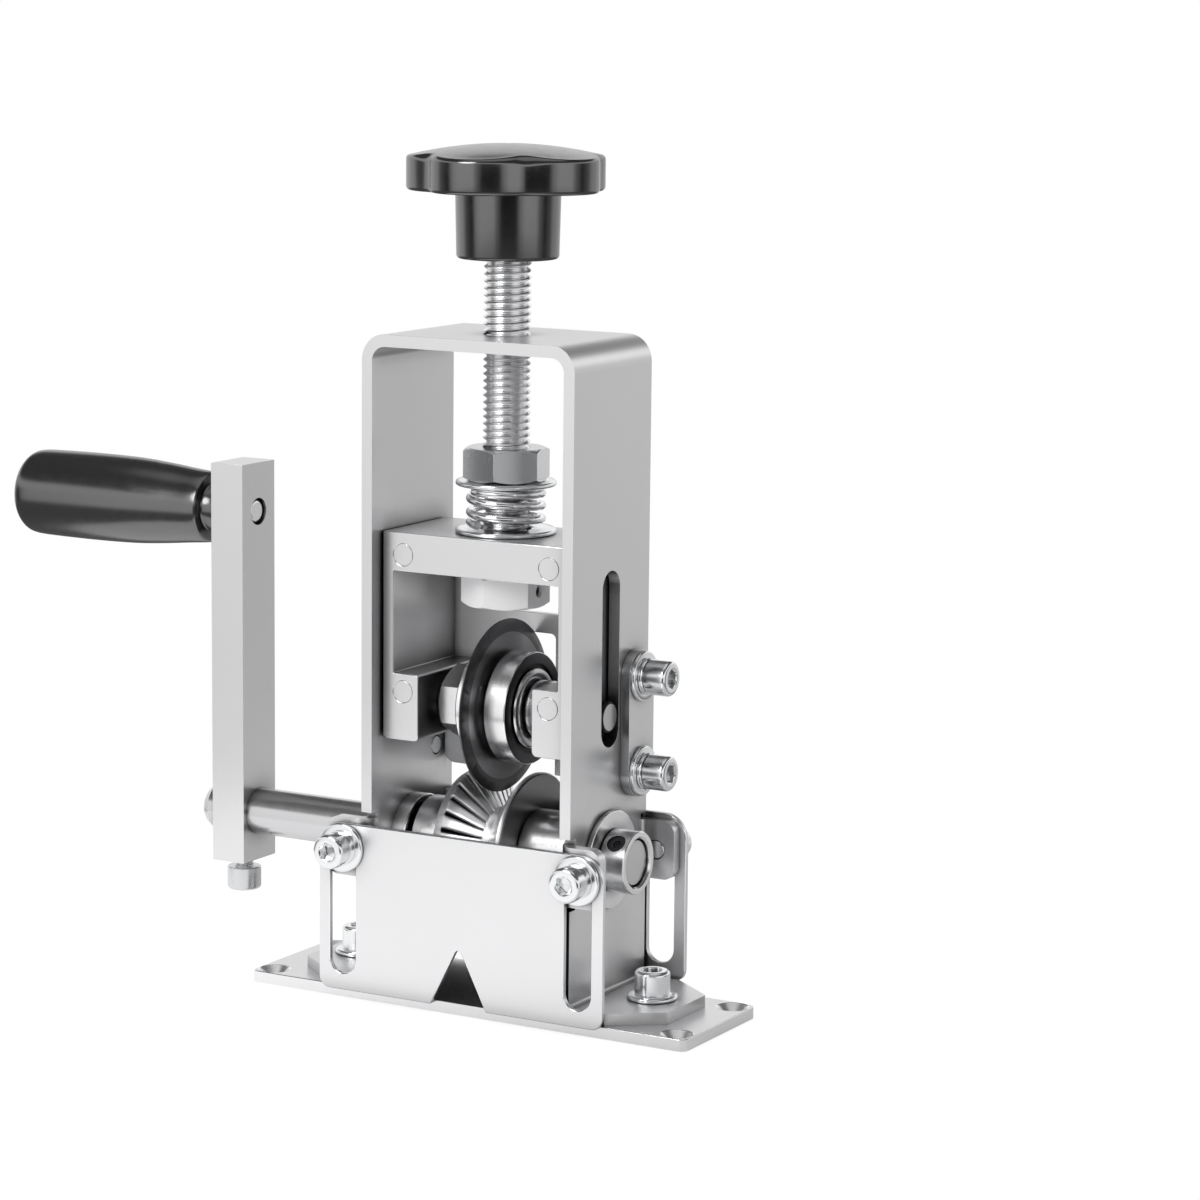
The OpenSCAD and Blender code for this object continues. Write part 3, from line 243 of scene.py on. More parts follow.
def studio_world():
    world = bpy.data.worlds.new("studio")
    nodes = empty_tree(world)
    parts = nodes.parts(nodes.add("ShaderNodeTexCoord", out="Generated"))
    angle = nodes.math("ARCTAN2", parts[0], nodes.times(parts[1], -1.0))
    turned = nodes.minus(angle, VIEW_AZIMUTH)
    share = nodes.math("WRAP", nodes.over(turned, 2 * math.pi), 0.5, -0.5)
    place = nodes.plus(share, 0.5)
    walls = nodes.ramp(place, [(a / 360 + 0.5, level) for a, level in PANELS], "EASE")
    overhead = nodes.ramp(parts[2], CEILING, "EASE")
    high = nodes.scaled(parts[2], CEILING_FROM, CEILING_FULL, 0.0, 1.0)
    low = nodes.scaled(parts[2], BELOW_FULL, BELOW_FROM, 1.0, 0.0)
    seen = nodes.mix(low, nodes.mix(high, walls, overhead), BELOW)
    rays = nodes.add("ShaderNodeLightPath").node.outputs
    level = nodes.mix(rays["Is Glossy Ray"], WHITE, seen)
    shown = nodes.mix(rays["Is Camera Ray"], level, WHITE)
    light = nodes.add("ShaderNodeBackground", {"Color": shown, "Strength": 1.0})
    nodes.add("ShaderNodeOutputWorld", {"Surface": light})
    return world


bpy.context.scene.world = studio_world()
print(f"studio of {len(PANELS)} stops round the object")

# %% [markdown]
# The floor is a small pale disc. It gives part of its light itself, to stay as white as the backdrop
# behind it, and takes the rest from the room, which leaves a soft shadow under the feet. Upright faces
# mirror it, so in a mirror it is bright on one side only and falls off to the other.

# %% The floor and the lamp
FLOOR_RADIUS = 0.21
FLOOR_GLOW = .76
FLOOR_GREY = .3
BRIGHT_SIDE = (-0.49, -0.87)
MIRRORED_DARK, MIRRORED_BRIGHT = .2, .7
FADE_FROM, FADE_TO = -.03, .05


def floor_material():
    material = bpy.data.materials.new("pale_floor")
    nodes = empty_tree(material)
    place = nodes.parts(nodes.add("ShaderNodeTexCoord", out="Object"))
    toward = nodes.plus(nodes.times(place[0], BRIGHT_SIDE[0]),
                        nodes.times(place[1], BRIGHT_SIDE[1]))
    mirrored = nodes.scaled(toward, FADE_FROM, FADE_TO, MIRRORED_DARK, MIRRORED_BRIGHT)
    rays = nodes.add("ShaderNodeLightPath").node.outputs
    strength = nodes.add("ShaderNodeMix", {0: rays["Is Glossy Ray"], 2: FLOOR_GLOW, 3: mirrored})
    matt = nodes.add("ShaderNodeBsdfDiffuse", {"Color": (FLOOR_GREY, FLOOR_GREY, FLOOR_GREY, 1)})
    glow = nodes.add("ShaderNodeEmission", {"Color": WHITE, "Strength": strength})
    both = nodes.add("ShaderNodeAddShader", {0: matt, 1: glow})
    nodes.add("ShaderNodeOutputMaterial", {"Surface": both})
    return material


sheet = bmesh.new()
bmesh.ops.create_circle(sheet, cap_ends=True, segments=96, radius=FLOOR_RADIUS)
floor_mesh = bpy.data.meshes.new("floor")
sheet.to_mesh(floor_mesh)
sheet.free()
floor = new_object("floor", floor_mesh)
floor.location.z = cad_box[0].z - 0.0002
floor_mesh.materials.append(floor_material())

panel = bpy.data.lights.new("soft_panel", "AREA")
panel.shape = "DISK"
panel.size = 0.35
panel.energy = 1.7
lamp = new_object("soft_panel", panel)
lamp.location = (-0.15, -0.55, 0.5)
lamp.rotation_euler = (Vector((0, 0, 0.1)) - lamp.location).to_track_quat("-Z", "Y").to_euler()
print(f"floor {2 * FLOOR_RADIUS:.2f} m across, one lamp of {panel.energy} W")

# %% [markdown]
# A finish starts from a colour with slow clouds in it, a roughness that varies on a finer scale, and a
# faint relief. The grain follows how the piece was made. Rolled and plated sheet has a fine even grain,
# milled bar has strokes along its cut, and a turned piece has rings about its own axis. Bevels are
# polished by hands, so they are smoother, and their colour is lifted too, as a painted highlight. Faces
# marked as groove are painted nearly black, as painted shade, and an occlusion node darkens metal close
# to another surface, as painted shade. Meshes name the first two in the attributes
# polished_edge and groove.

# %% Metal finishes
# Ramp by which the occlusion value paints shade into the colour near other surfaces: painted shade.
OCCLUSION_SHADE = ((0, .06), (.35, .26), (.7, .74), (.9, 1))
EVEN = (1, 1, 1)
ROUGHNESS_SPREAD = .1
# Colour of the faces marked as groove: painted shade, nearly black.
PAINTED_SHADE_COLOUR = (.015, .015, .015, 1)
# Bevels get a lifted colour, a painted highlight, and a lower roughness, which is their polish.
EDGE_HIGHLIGHT_GAIN, EDGE_HIGHLIGHT_LIFT, EDGE_SMOOTHING = 1.12, .04, .55
CLOUD_SCALE = 55.0


def metal(name, colour, roughness, grain=EVEN, fineness=2600, relief=0.012, clouds=0.03,
          about=None, lie=0, painted_light_core=None, side=None, painted_shade_reach=9, metallic=1.0):
    """lie is the turning axis: 0 for X and 2 for Z. painted_light_core is a radius and the colour inside
    it, and side is a place along the axis and the colour beyond it. Both paint light and shade in where
    they are used. Within painted_shade_reach, in millimetres, of another surface an occlusion node
    darkens the colour: painted shade in corners and between parts. Less than full metallic lets a piece
    take up the room's even light, which paints it lighter."""
    material = bpy.data.materials.new(name)
    nodes = empty_tree(material)
    place = nodes.add("ShaderNodeTexCoord", out="Object")
    if about is None:
        fine_place = nodes.add("ShaderNodeMapping", {"Vector": place, "Scale": grain})
    else:
        parts = nodes.parts(nodes.vector("SUBTRACT", place, tuple(about)))
        squares = [nodes.times(parts[i], parts[i]) for i in range(3) if i != lie]
        radius = nodes.math("SQRT", nodes.plus(*squares))
        fine_place = nodes.add("ShaderNodeCombineXYZ", {0: parts[lie], 1: radius})
    fine = nodes.add("ShaderNodeTexNoise", {"Vector": fine_place, "Scale": fineness, "Detail": 3.0,
                                            "Roughness": 0.6})
    slow = nodes.add("ShaderNodeTexNoise", {"Vector": place, "Scale": CLOUD_SCALE, "Detail": 2.0})
    dim, bright = (tuple(min(1, c * (1 + s * clouds)) for c in colour) + (1,) for s in (-1, 1))
    tone = nodes.mix(slow, dim, bright)
    # On the blade the lighter core is a painted reflection; on the axle's end the black round the core is
    # a painted shadow.
    if painted_light_core:
        tone = nodes.mix(nodes.math("LESS_THAN", radius, painted_light_core[0] * MM), tone, painted_light_core[1] + (1,))
    # Beyond side the colour changes; on the plain wheel this is painted shade.
    if side:
        tone = nodes.mix(nodes.math("GREATER_THAN", parts[lie], side[0] * MM), tone, side[1] + (1,))
    # Faces marked as groove are painted towards nearly black: painted shade.
    groove = nodes.add("ShaderNodeAttribute", out="Fac", attribute_name="groove")
    tone = nodes.mix(groove, tone, PAINTED_SHADE_COLOUR)
    # Bevels are painted lighter: a painted highlight along the edges.
    edge = nodes.add("ShaderNodeAttribute", out="Fac", attribute_name="polished_edge")
    tone = nodes.mix(edge, tone, tuple(min(1, c * EDGE_HIGHLIGHT_GAIN + EDGE_HIGHLIGHT_LIFT) for c in colour) + (1,))
    # Near another surface an occlusion node darkens the colour: painted shade.
    if painted_shade_reach:
        open_sky = nodes.add("ShaderNodeAmbientOcclusion", {"Distance": painted_shade_reach * MM}, "AO", samples=8)
        tone = nodes.mix(1.0, tone, nodes.ramp(open_sky, OCCLUSION_SHADE), blend_type="MULTIPLY")
    mixed = nodes.plus(nodes.times(fine, 0.7), nodes.times(slow, 0.3))
    rough = nodes.scaled(mixed, 0.3, 0.7, *(roughness * (1 + s * ROUGHNESS_SPREAD) for s in (-1, 1)))
    smoother = nodes.minus(1.0, nodes.times(edge, EDGE_SMOOTHING))
    bump = nodes.add("ShaderNodeBump", {"Strength": relief, "Distance": 0.0002, "Height": fine})
    surface = nodes.add("ShaderNodeBsdfPrincipled", {
        "Base Color": tone, "Metallic": metallic, "Normal": bump,
        "Roughness": nodes.times(rough, smoother)})
    nodes.add("ShaderNodeOutputMaterial", {"Surface": surface})
    return material


FINISH = {
    "base_sheet": metal("base_sheet", (.88, .88, .89), .30, painted_shade_reach=0),
    "frame_sheet": metal("frame_sheet", (.82, .82, .83), .31),
    "guide_sheet": metal("guide_sheet", (.84, .84, .85), .34, clouds=.02),
    "carriage": metal("milled_carriage", (.86, .86, .87), .33, (1, 1, 5), 900, painted_shade_reach=16),
    # The guard is less metallic, so the room's even light paints it lighter: painted light.
    "guard": metal("guard_sheet", (.92, .92, .93), .33, painted_shade_reach=3, metallic=.55),
    "arm": metal("drawn_arm", (.82, .82, .82), .30, (4, 4, .4), 900),
    "zinc": metal("bright_zinc", (.86, .87, .88), .17, EVEN, 1500, clouds=.04, painted_shade_reach=0),
    # The two nut finishes are copies of one zinc; the lower nut's is painted brighter and less metallic:
    # painted light.
    "nut": metal("zinc_nut", (.70, .71, .72), .26, EVEN, 1500, clouds=.04, painted_shade_reach=0),
    "bright_painted_low_nut": metal("zinc_nut_below", (.97, .97, .98), .32, EVEN, 1500, clouds=.02, painted_shade_reach=0,
                     metallic=.3),
    "spring": metal("spring_wire", (.88, .88, .89), .09, EVEN, 1200, clouds=.04, painted_shade_reach=0),
    "dark": metal("blackened_steel", (.07, .07, .075), .38, EVEN, 1800, clouds=.1),
}
print(f"{len(FINISH)} metal finishes")

# %% Finishes of turned pieces
FINISH |= {
    "on_shaft": metal("turned_on_shaft", (.88, .88, .89), .22, relief=.04, about=shaft_axis,
                      painted_shade_reach=4),
    "shaft": metal("ground_shaft", (.66, .66, .67), .22, relief=.07, about=shaft_axis),
    "wheel": metal("ribbed_steel", (.92, .92, .93), .34, fineness=2000, relief=.02,
                   about=shaft_axis, painted_shade_reach=1.3),
    # The plain wheel's face beyond 9.4 mm, towards the right wall, is painted dark: painted shade.
    "plain_wheel": metal("turned_wheel", (.92, .92, .93), .30, fineness=2000, relief=.03,
                         about=shaft_axis, side=(9.4, (.2, .2, .205)), painted_shade_reach=3),
    "on_blade": metal("turned_on_axle", (.92, .92, .93), .24, relief=.03, about=blade_axis,
                      painted_shade_reach=1.5),
    # The blade's lighter middle inside 18.4 mm is a painted reflection; the rim round it stays dark.
    "blade": metal("ground_blade", (.13, .13, .135), .30, relief=.03, about=blade_axis,
                   painted_light_core=(18.4, (.3, .3, .31))),
    # The axle is painted black outside 3.3 mm round its axis: a painted shadow round its end disc.
    "axle": metal("axle_end", (.02, .02, .02), .25, about=blade_axis, painted_light_core=(3.3, (.6, .6, .61))),
    "bearing": metal("bearing_shield", (.11, .11, .115), .33, fineness=1500, about=blade_axis),
    "handle": metal("turned_handle_axle", (.92, .92, .93), .24, relief=.08, about=handle_axis,
                    painted_shade_reach=0),
    "screw": metal("rolled_thread", (.90, .90, .91), .24, fineness=1800, relief=.02,
                   about=feed_axis, lie=2, painted_shade_reach=0),
}
print(f"{len(FINISH)} finishes with the turned ones")

# %% [markdown]
# The knob and the grip are moulded in black plastic, glossy on the knob and duller on the grip. The skin
# isn't quite flat, which softens the edges of the mirrored panels a little.

# %% Black plastic


def moulded_plastic(name, smooth, matt, gloss):
    material = bpy.data.materials.new(name)
    nodes = empty_tree(material)
    place = nodes.add("ShaderNodeTexCoord", out="Object")
    skin = nodes.add("ShaderNodeTexNoise", {"Vector": place, "Scale": 420.0, "Detail": 2.0})
    slow = nodes.add("ShaderNodeTexNoise", {"Vector": place, "Scale": 60.0, "Detail": 2.0})
    tone = nodes.mix(slow, (.003, .003, .0032, 1), (.005, .005, .0052, 1))
    rough = nodes.scaled(skin, .3, .7, smooth, matt)
    bump = nodes.add("ShaderNodeBump", {"Strength": .02, "Distance": .0003, "Height": skin})
    surface = nodes.add("ShaderNodeBsdfPrincipled", {
        "Base Color": tone, "Roughness": rough, "Normal": bump, "IOR": gloss})
    nodes.add("ShaderNodeOutputMaterial", {"Surface": surface})
    return material


FINISH |= {"knob": moulded_plastic("black_plastic", .13, .18, 2.4),
           "grip": moulded_plastic("satin_black_plastic", .19, .23, 2.35)}
print(f"{len(FINISH)} finishes with the plastics")

# %% [markdown]
# Every finished piece stands for one node of the model: it rides on that node's body and hides the
# node. A closed mesh has two faces at each edge, and counting the edges that don't is a quick test of
# it.

# %% Dressing a node and counting open edges


def open_edges(mesh):
    shell = bmesh.new()
    shell.from_mesh(mesh)
    count = sum(1 for edge in shell.edges if len(edge.link_faces) != 2)
    shell.free()
    return count


def shade(mesh, sharp_angle):
    mesh.shade_smooth()
    mesh.set_sharp_from_angle(angle=math.radians(sharp_angle))


def dress(piece, node, finish):
    piece.data.materials.clear()
    piece.data.materials.append(FINISH[finish])
    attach(piece, frame["nodes"][node]["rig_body"])
    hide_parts(node)
    print(f"{piece.name}: {len(piece.data.polygons)} faces, {open_edges(piece.data)} open edges")


def stand_in(node, mesh, sharp_angle, finish):
    """The mesh as the finished piece of a node."""
    shade(mesh, sharp_angle)
    dress(new_object(f"{node}_model", mesh), node, finish)


def fix_modifiers(piece):
    """Puts what the modifiers make into the object's own mesh."""
    bpy.context.view_layer.update()
    done = piece.evaluated_get(bpy.context.evaluated_depsgraph_get())
    mesh = bpy.data.meshes.new_from_object(done)
    piece.modifiers.clear()
    piece.data = mesh


def mark_faces(mesh, name, level):
    mark = mesh.attributes.new(name, "FLOAT", "FACE")
    mark.data.foreach_set("value", [float(level(face)) for face in mesh.polygons])


# %% [markdown]
# Most pieces have the right shape in the model already, but their edges are mathematically sharp, and
# no real edge is. A broken edge catches a line of light. So each such piece is a copy of its node, with
# its triangles merged back into whole faces, and a narrow bevel on every sharp edge.

# %% Copies with broken edges
EDGE_ANGLE = 28
BETWEEN_WALLS = 28.5 * MM
SPLIT_AT = {"rear_guide_plate": (-BETWEEN_WALLS, BETWEEN_WALLS)}


def flat_faces(node):
    """The node's mesh as whole flat faces, welded, and split where its painted shade starts."""
    mesh = frame["nodes"][node].data.copy()
    shell = bmesh.new()
    shell.from_mesh(mesh)
    bmesh.ops.remove_doubles(shell, verts=shell.verts, dist=1e-6)
    bmesh.ops.dissolve_limit(shell, angle_limit=math.radians(0.4), verts=shell.verts,
                             edges=shell.edges)
    for x in SPLIT_AT.get(node, ()):
        bmesh.ops.bisect_plane(shell, geom=shell.verts[:] + shell.edges[:] + shell.faces[:],
                               plane_co=(x, 0, 0), plane_no=(1, 0, 0))
    shell.to_mesh(mesh)
    shell.free()
    for layer in list(mesh.uv_layers):
        mesh.uv_layers.remove(layer)
    return mesh


def broken_edges(node, width):
    """The bevel's faces get the second material slot, by which they are then marked as polished edges
    with a painted highlight.
    """
    piece = new_object(f"{node}_model", flat_faces(node))
    piece.data.materials.clear()
    for _ in range(2):
        piece.data.materials.append(None)
    shade(piece.data, EDGE_ANGLE)
    bevel = piece.modifiers.new("edges", "BEVEL")
    bevel.width = width * MM
    bevel.segments = 2
    bevel.limit_method = "ANGLE"
    bevel.angle_limit = math.radians(EDGE_ANGLE)
    bevel.miter_outer = "MITER_ARC"
    bevel.material = 1
    even = piece.modifiers.new("even_shading", "WEIGHTED_NORMAL")
    even.keep_sharp = True
    fix_modifiers(piece)
    mark_faces(piece.data, "polished_edge", lambda face: face.material_index)
    piece.data.polygons.foreach_set("material_index", [0] * len(piece.data.polygons))
    return piece


# %% Sheet, bar and turned pieces
EDGES = (
    ("base_plate", "base_sheet", .35), ("frame_strap", "frame_sheet", .4),
    ("side_strip_left", "frame_sheet", .35), ("side_strip_right", "frame_sheet", .35),
    ("front_guide_plate", "guide_sheet", .2), ("rear_guide_plate", "guide_sheet", .2),
    ("blade_carriage", "carriage", .5), ("blade_guard", "guard", .3),
    ("carriage_pins", "carriage", .06), ("guard_pins", "carriage", .06), ("crank_arm", "arm", .6),
    ("upper_nut", "nut", .5), ("lower_nut", "bright_painted_low_nut", .4), ("nut_set_screw", "dark", .1),
    ("collar_set_screw", "dark", .12), ("knob_insert", "zinc", .2), ("wheel_key", "on_shaft", .2),
    ("shaft_bush_left", "on_shaft", .25), ("shaft_bush_right", "on_shaft", .25),
    ("spacer_right", "on_shaft", .3), ("shaft_collar", "on_shaft", .25),
    ("drive_shaft", "shaft", .15), ("plain_wheel", "plain_wheel", .2), ("blade_axle", "axle", .12),
    ("axle_spacer", "on_blade", .2), ("blade_hub", "on_blade", .22),
    ("blade_flange", "on_blade", .35), ("blade_nut", "on_blade", .25),
    ("cutting_blade", "blade", .05), ("handle_axle", "handle", .2),
)
print(f"{len(EDGES)} pieces with broken edges")

# %% [markdown]
# Two pieces get painted shade on some faces only, painted nearly black: the feet of the carriage,
# beside the turning blade, and the rear guide plate where it looks at the wheels. The right ends of two
# shafts also differ from their solids: the drive shaft's lies deeper in the collar, and the handle axle's
# nearly fills its recess.

# %% Painted shade, the ends of the shafts, and the pieces
FACES_THAT_WAY = .9
FEET_BELOW, FEET_INSIDE = 85 * MM, 18 * MM
END_SHIFT = {"drive_shaft": -1.0 * MM, "handle_axle": 1.5 * MM}
END_REGION = .6 * MM


# Painted shade on the carriage's feet: upright faces beside the blade nearly black, upward faces darker.
def feet_painted_shade(face):
    if face.center.z > FEET_BELOW:
        return 0
    if abs(face.normal.x) > FACES_THAT_WAY and abs(face.center.x) < FEET_INSIDE:
        return .8
    return .4 if face.normal.z > FACES_THAT_WAY else 0


# Painted shade, nearly black, on the rear guide plate's face towards the wheels.
def plate_painted_shade(face):
    return .9 if face.normal.y < -FACES_THAT_WAY and abs(face.center.x) < BETWEEN_WALLS else 0


PAINTED_SHADE_FACES = {"blade_carriage": feet_painted_shade, "rear_guide_plate": plate_painted_shade}
for node, finish, width in EDGES:
    piece = broken_edges(node, width)
    if node in END_SHIFT:
        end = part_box(node)[1].x - END_REGION
        for point in piece.data.vertices:
            if point.co.x > end:
                point.co.x += END_SHIFT[node]
    if node in PAINTED_SHADE_FACES:
        mark_faces(piece.data, "groove", PAINTED_SHADE_FACES[node])
    dress(piece, node, finish)

# %% [markdown]
# Pieces that are round or nearly round are laid up from rings of points, one above the other. Where a
# ring is a single point the shape closes there, and where the last ring meets the first the piece has
# a bore.

# %% Rings of points


def ring(radius, height, count):
    """A ring about Z. The radius and the height are numbers, or functions of the angle."""
    angles = [2 * math.pi * i / count for i in range(count)]
    radii = [radius(a) if callable(radius) else radius for a in angles]
    heights = [height(a) if callable(height) else height for a in angles]
    return [Vector((r * math.cos(a), r * math.sin(a), h)) for a, r, h in zip(angles, radii, heights)]


def rings_mesh(name, rings, bored=False, capped=False):
    shell = bmesh.new()
    layers = [[shell.verts.new(point) for point in points] for points in rings]
    pairs = list(zip(layers, layers[1:]))
    if bored:
        pairs.append((layers[-1], layers[0]))
    for low, high in pairs:
        count = max(len(low), len(high))
        for i in range(count):
            j = (i + 1) % count
            if len(low) == 1:
                shell.faces.new((low[0], high[j], high[i]))
            elif len(high) == 1:
                shell.faces.new((low[i], low[j], high[0]))
            else:
                shell.faces.new((low[i], low[j], high[j], high[i]))
    if capped:
        for points in (layers[0], layers[-1]):
            shell.faces.new(points)
    bmesh.ops.recalc_face_normals(shell, faces=shell.faces)
    mesh = bpy.data.meshes.new(name)
    shell.to_mesh(mesh)
    shell.free()
    return mesh


def corner(inset, height, radius, start, steps=4):
    """Rounded corner as (inset, height) pairs, over a quarter turn that starts at an angle in degrees."""
    return [(inset + radius * math.cos(math.radians(start + 90 * i / steps)),
             height + radius * math.sin(math.radians(start + 90 * i / steps)))
            for i in range(steps + 1)]


# %% [markdown]
# The star knob has five broad lobes. Its outline is two arcs that touch: a lobe, and the hollow between
# two lobes. The top is a shallow dome, and its edge is rounded more widely in the hollows than on the
# lobes, which makes the rim dip there. One function of the angle gives the outline, and rings of it,
# set in and raised, give the rest.

# %% The star knob's outline
KNOB_R = 25.0 * MM
LOBE_R = 14.7 * MM
HOLLOW_R = 10.0 * MM
LOBES = 5
KNOB_TURN = math.radians(59)
HALF_STEP = math.pi / LOBES
lobe_mid = KNOB_R - LOBE_R
hollow_mid = lobe_mid * math.cos(HALF_STEP) + math.sqrt(
    (LOBE_R + HOLLOW_R) ** 2 - (lobe_mid * math.sin(HALF_STEP)) ** 2)
arc_share = LOBE_R / (LOBE_R + HOLLOW_R)
touch_angle = math.atan2(arc_share * hollow_mid * math.sin(HALF_STEP),
                         lobe_mid + arc_share * (hollow_mid * math.cos(HALF_STEP) - lobe_mid))
HOLLOW_FLOOR = hollow_mid - HOLLOW_R


def star_radius(angle):
    off = (angle - KNOB_TURN + HALF_STEP) % (2 * HALF_STEP) - HALF_STEP
    if abs(off) <= touch_angle:
        return lobe_mid * math.cos(off) + math.sqrt(LOBE_R ** 2 - (lobe_mid * math.sin(off)) ** 2)
    off = HALF_STEP - abs(off)
    return hollow_mid * math.cos(off) - math.sqrt(HOLLOW_R ** 2 - (hollow_mid * math.sin(off)) ** 2)


print(f"the hollows are {(KNOB_R - HOLLOW_FLOOR) / MM:.2f} mm deep")

# %% The star knob
COLUMNS = 240
NECK_L, NECK_R, NECK_ROUND = 16.4 * MM, 12.6 * MM, .9 * MM
NECK_TOP_R = 12.95 * MM
STAR_ROUND = 1 * MM
DOME_RISE = 2.9 * MM
knob_low, knob_top = (point.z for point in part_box("star_knob"))
star_low = knob_low + NECK_L
star_rim = knob_top - DOME_RISE
dome_sphere = ((KNOB_R - STAR_ROUND) ** 2 + DOME_RISE ** 2) / (2 * DOME_RISE)


def dome_height(radius):
    return star_rim + DOME_RISE - dome_sphere + math.sqrt(dome_sphere ** 2 - radius ** 2)


def edge_round(angle):
    """The rounding of the upper edge: 1 mm on a lobe, and 2.7 mm in the middle of a hollow."""
    hollowness = (KNOB_R - star_radius(angle)) / (KNOB_R - HOLLOW_FLOOR)
    return (1.0 + 1.7 * hollowness ** 1.5) * MM


def star_rings():
    rings = [ring(NECK_TOP_R, star_low, COLUMNS)]
    for inset, height in corner(-STAR_ROUND, STAR_ROUND, STAR_ROUND, -90):
        rings.append(ring(lambda a: star_radius(a) + inset, star_low + height, COLUMNS))
    for step in range(6):
        turn = math.radians(18 * step)
        rings.append(ring(
            lambda a: star_radius(a) - edge_round(a) * (1 - math.cos(turn)),
            lambda a: dome_height(star_radius(a) - edge_round(a)) - edge_round(a) * (1 - math.sin(turn)),
            COLUMNS))
    for share in (.9, .78, .64, .5, .36, .22, .13):
        rounding = .3 * (1 - share)
        rings.append(ring(lambda a: share * ((1 - rounding) * (star_radius(a) - edge_round(a))
                                             + rounding * KNOB_R), 0, COLUMNS))
        for point in rings[-1]:
            point.z = dome_height(math.hypot(point.x, point.y))
    return rings


HOLE_R, INSERT_R, INSERT_L = 1.72 * MM, 8.53 * MM, 14 * MM
knob_rings = [ring(r, knob_low + h, COLUMNS) for r, h in (
    [(HOLE_R, INSERT_L), (INSERT_R, INSERT_L), (INSERT_R, 0)]
    + corner(NECK_R - NECK_ROUND, NECK_ROUND, NECK_ROUND, -90))]
knob_rings += star_rings() + [ring(HOLE_R, dome_height(HOLE_R), COLUMNS)]
knob = rings_mesh("star_knob", knob_rings, bored=True)
knob.transform(Matrix.Translation(feed_axis))
stand_in("star_knob", knob, 40, "knob")

# %% [markdown]
# The grip is turned about the handle's axle. Its side is a smooth line through a few points, so it
# swells without the flats that straight steps would show. Each point is a share of the way from the
# shoulder to the outer end, and a share of the largest radius.

# %% The handle's grip
GRIP_SHARES = ((0, .76), (.01, .8), (.125, .855), (.25, .92), (.41, .98), (.62, 1), (.85, .99),
               (.945, .97), (.98, .91), (1, .78))


def smooth_line(points, steps):
    """A curve through all the points, bent as gently as they allow."""
    ends = [points[0]] + list(points) + [points[-1]]
    line = []
    for a, b, c, d in zip(ends, ends[1:], ends[2:], ends[3:]):
        for i in range(steps):
            t = i / steps
            line.append(tuple(
                .5 * (2 * q + (r - p) * t + (2 * p - 5 * q + 4 * r - s) * t * t
                      + (3 * q - p - 3 * r + s) * t ** 3) for p, q, r, s in zip(a, b, c, d)))
    return line + [tuple(points[-1])]


def upright_to_x(point):
    """Turns upright rings to lie along X, about a point on their axis."""
    return Matrix.Translation(point) @ Matrix.Rotation(math.radians(90), 4, "Y")


def turned_piece(name, outline, axis, count=96):
    """A bored piece turned about X. The outline is a closed line of (place along X, radius)."""
    mesh = rings_mesh(name, [ring(radius, place, count) for place, radius in outline], bored=True)
    mesh.transform(upright_to_x(axis))
    return mesh


grip_out, grip_in = (point.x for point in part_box("handle_grip"))
GRIP_R = 11.4 * MM
GRIP_NECK_L, GRIP_NECK_R = 3.9 * MM, 6 * MM
BORE_R, RECESS_R, RECESS_L = 3.05 * MM, 5.3 * MM, 3.9 * MM
shoulder = grip_in - GRIP_NECK_L
neck = [(grip_in, GRIP_NECK_R - .4 * MM), (grip_in - .4 * MM, GRIP_NECK_R),
        (shoulder + .5 * MM, GRIP_NECK_R), (shoulder + .1 * MM, GRIP_NECK_R + .3 * MM)]
swell = [(shoulder - place * (shoulder - grip_out), share * GRIP_R)
         for place, share in smooth_line(GRIP_SHARES, 4)]
bore = [(grip_out, RECESS_R), (grip_out + RECESS_L, RECESS_R), (grip_out + RECESS_L, BORE_R),
        (grip_in, BORE_R)]
stand_in("handle_grip", turned_piece("handle_grip", neck + swell + bore, handle_axis, 128), 40,
         "grip")

# %% [markdown]
# Beside the blade the hub ends in a bearing, closed by a dark seal that also covers the end of the hub.
# A silver lip stands out of the seal, and a sleeve keeps the carriage's foot off it. These pieces, and
# the spacer with its narrow neck, are turned from outlines: the place along X and the radius, both in
# millimetres.

# %% Turned pieces with their own outlines
TURNED_LINES = (
    ("hub_bearing", "bearing", blade_axis, (
        (3.75, 12.2), (3.75, 9.25), (7.7, 9.25), (7.9, 9.5), (7.9, 12.0), (8.24, 12.0), (8.24, 11.2),
        (8.34, 11.1), (8.36, 13.5), (8.26, 13.75), (8.24, 12.2))),
    ("bearing_inner_ring", "on_blade", blade_axis, (
        (4.05, 4.05), (4.05, 9.2), (8.2, 9.2), (8.3, 9.9), (8.5, 10.0), (8.85, 9.85), (9.15, 9.4),
        (9.3, 8.8), (9.25, 8.1), (9.0, 7.4), (8.8, 6.4), (9.2, 5.6), (9.2, 4.05))),
    ("axle_sleeve", "on_blade", blade_axis, (
        (9.2, 4.05), (9.2, 5.7), (9.7, 5.7), (9.7, 6.8), (9.85, 7.1), (10.2, 7.3), (10.6, 7.35),
        (16.0, 7.35), (16.3, 7.05), (16.3, 4.05))),
    ("spacer_left", "on_shaft", shaft_axis, (
        (-22.1, 6.05), (-22.1, 8.2), (-21.0, 8.2), (-21.0, 9.9), (-20.9, 10.1), (-20.6, 10.25),
        (-10.75, 10.25), (-10.5, 10.15), (-10.4, 9.9), (-10.4, 6.05))),
)
for node, finish, axis, line in TURNED_LINES:
    stand_in(node, turned_piece(node, [(x * MM, r * MM) for x, r in line], axis), 35, finish)

# %% [markdown]
# The big washers above and under the spring are stamped, so their rims are rounded and slightly drawn.

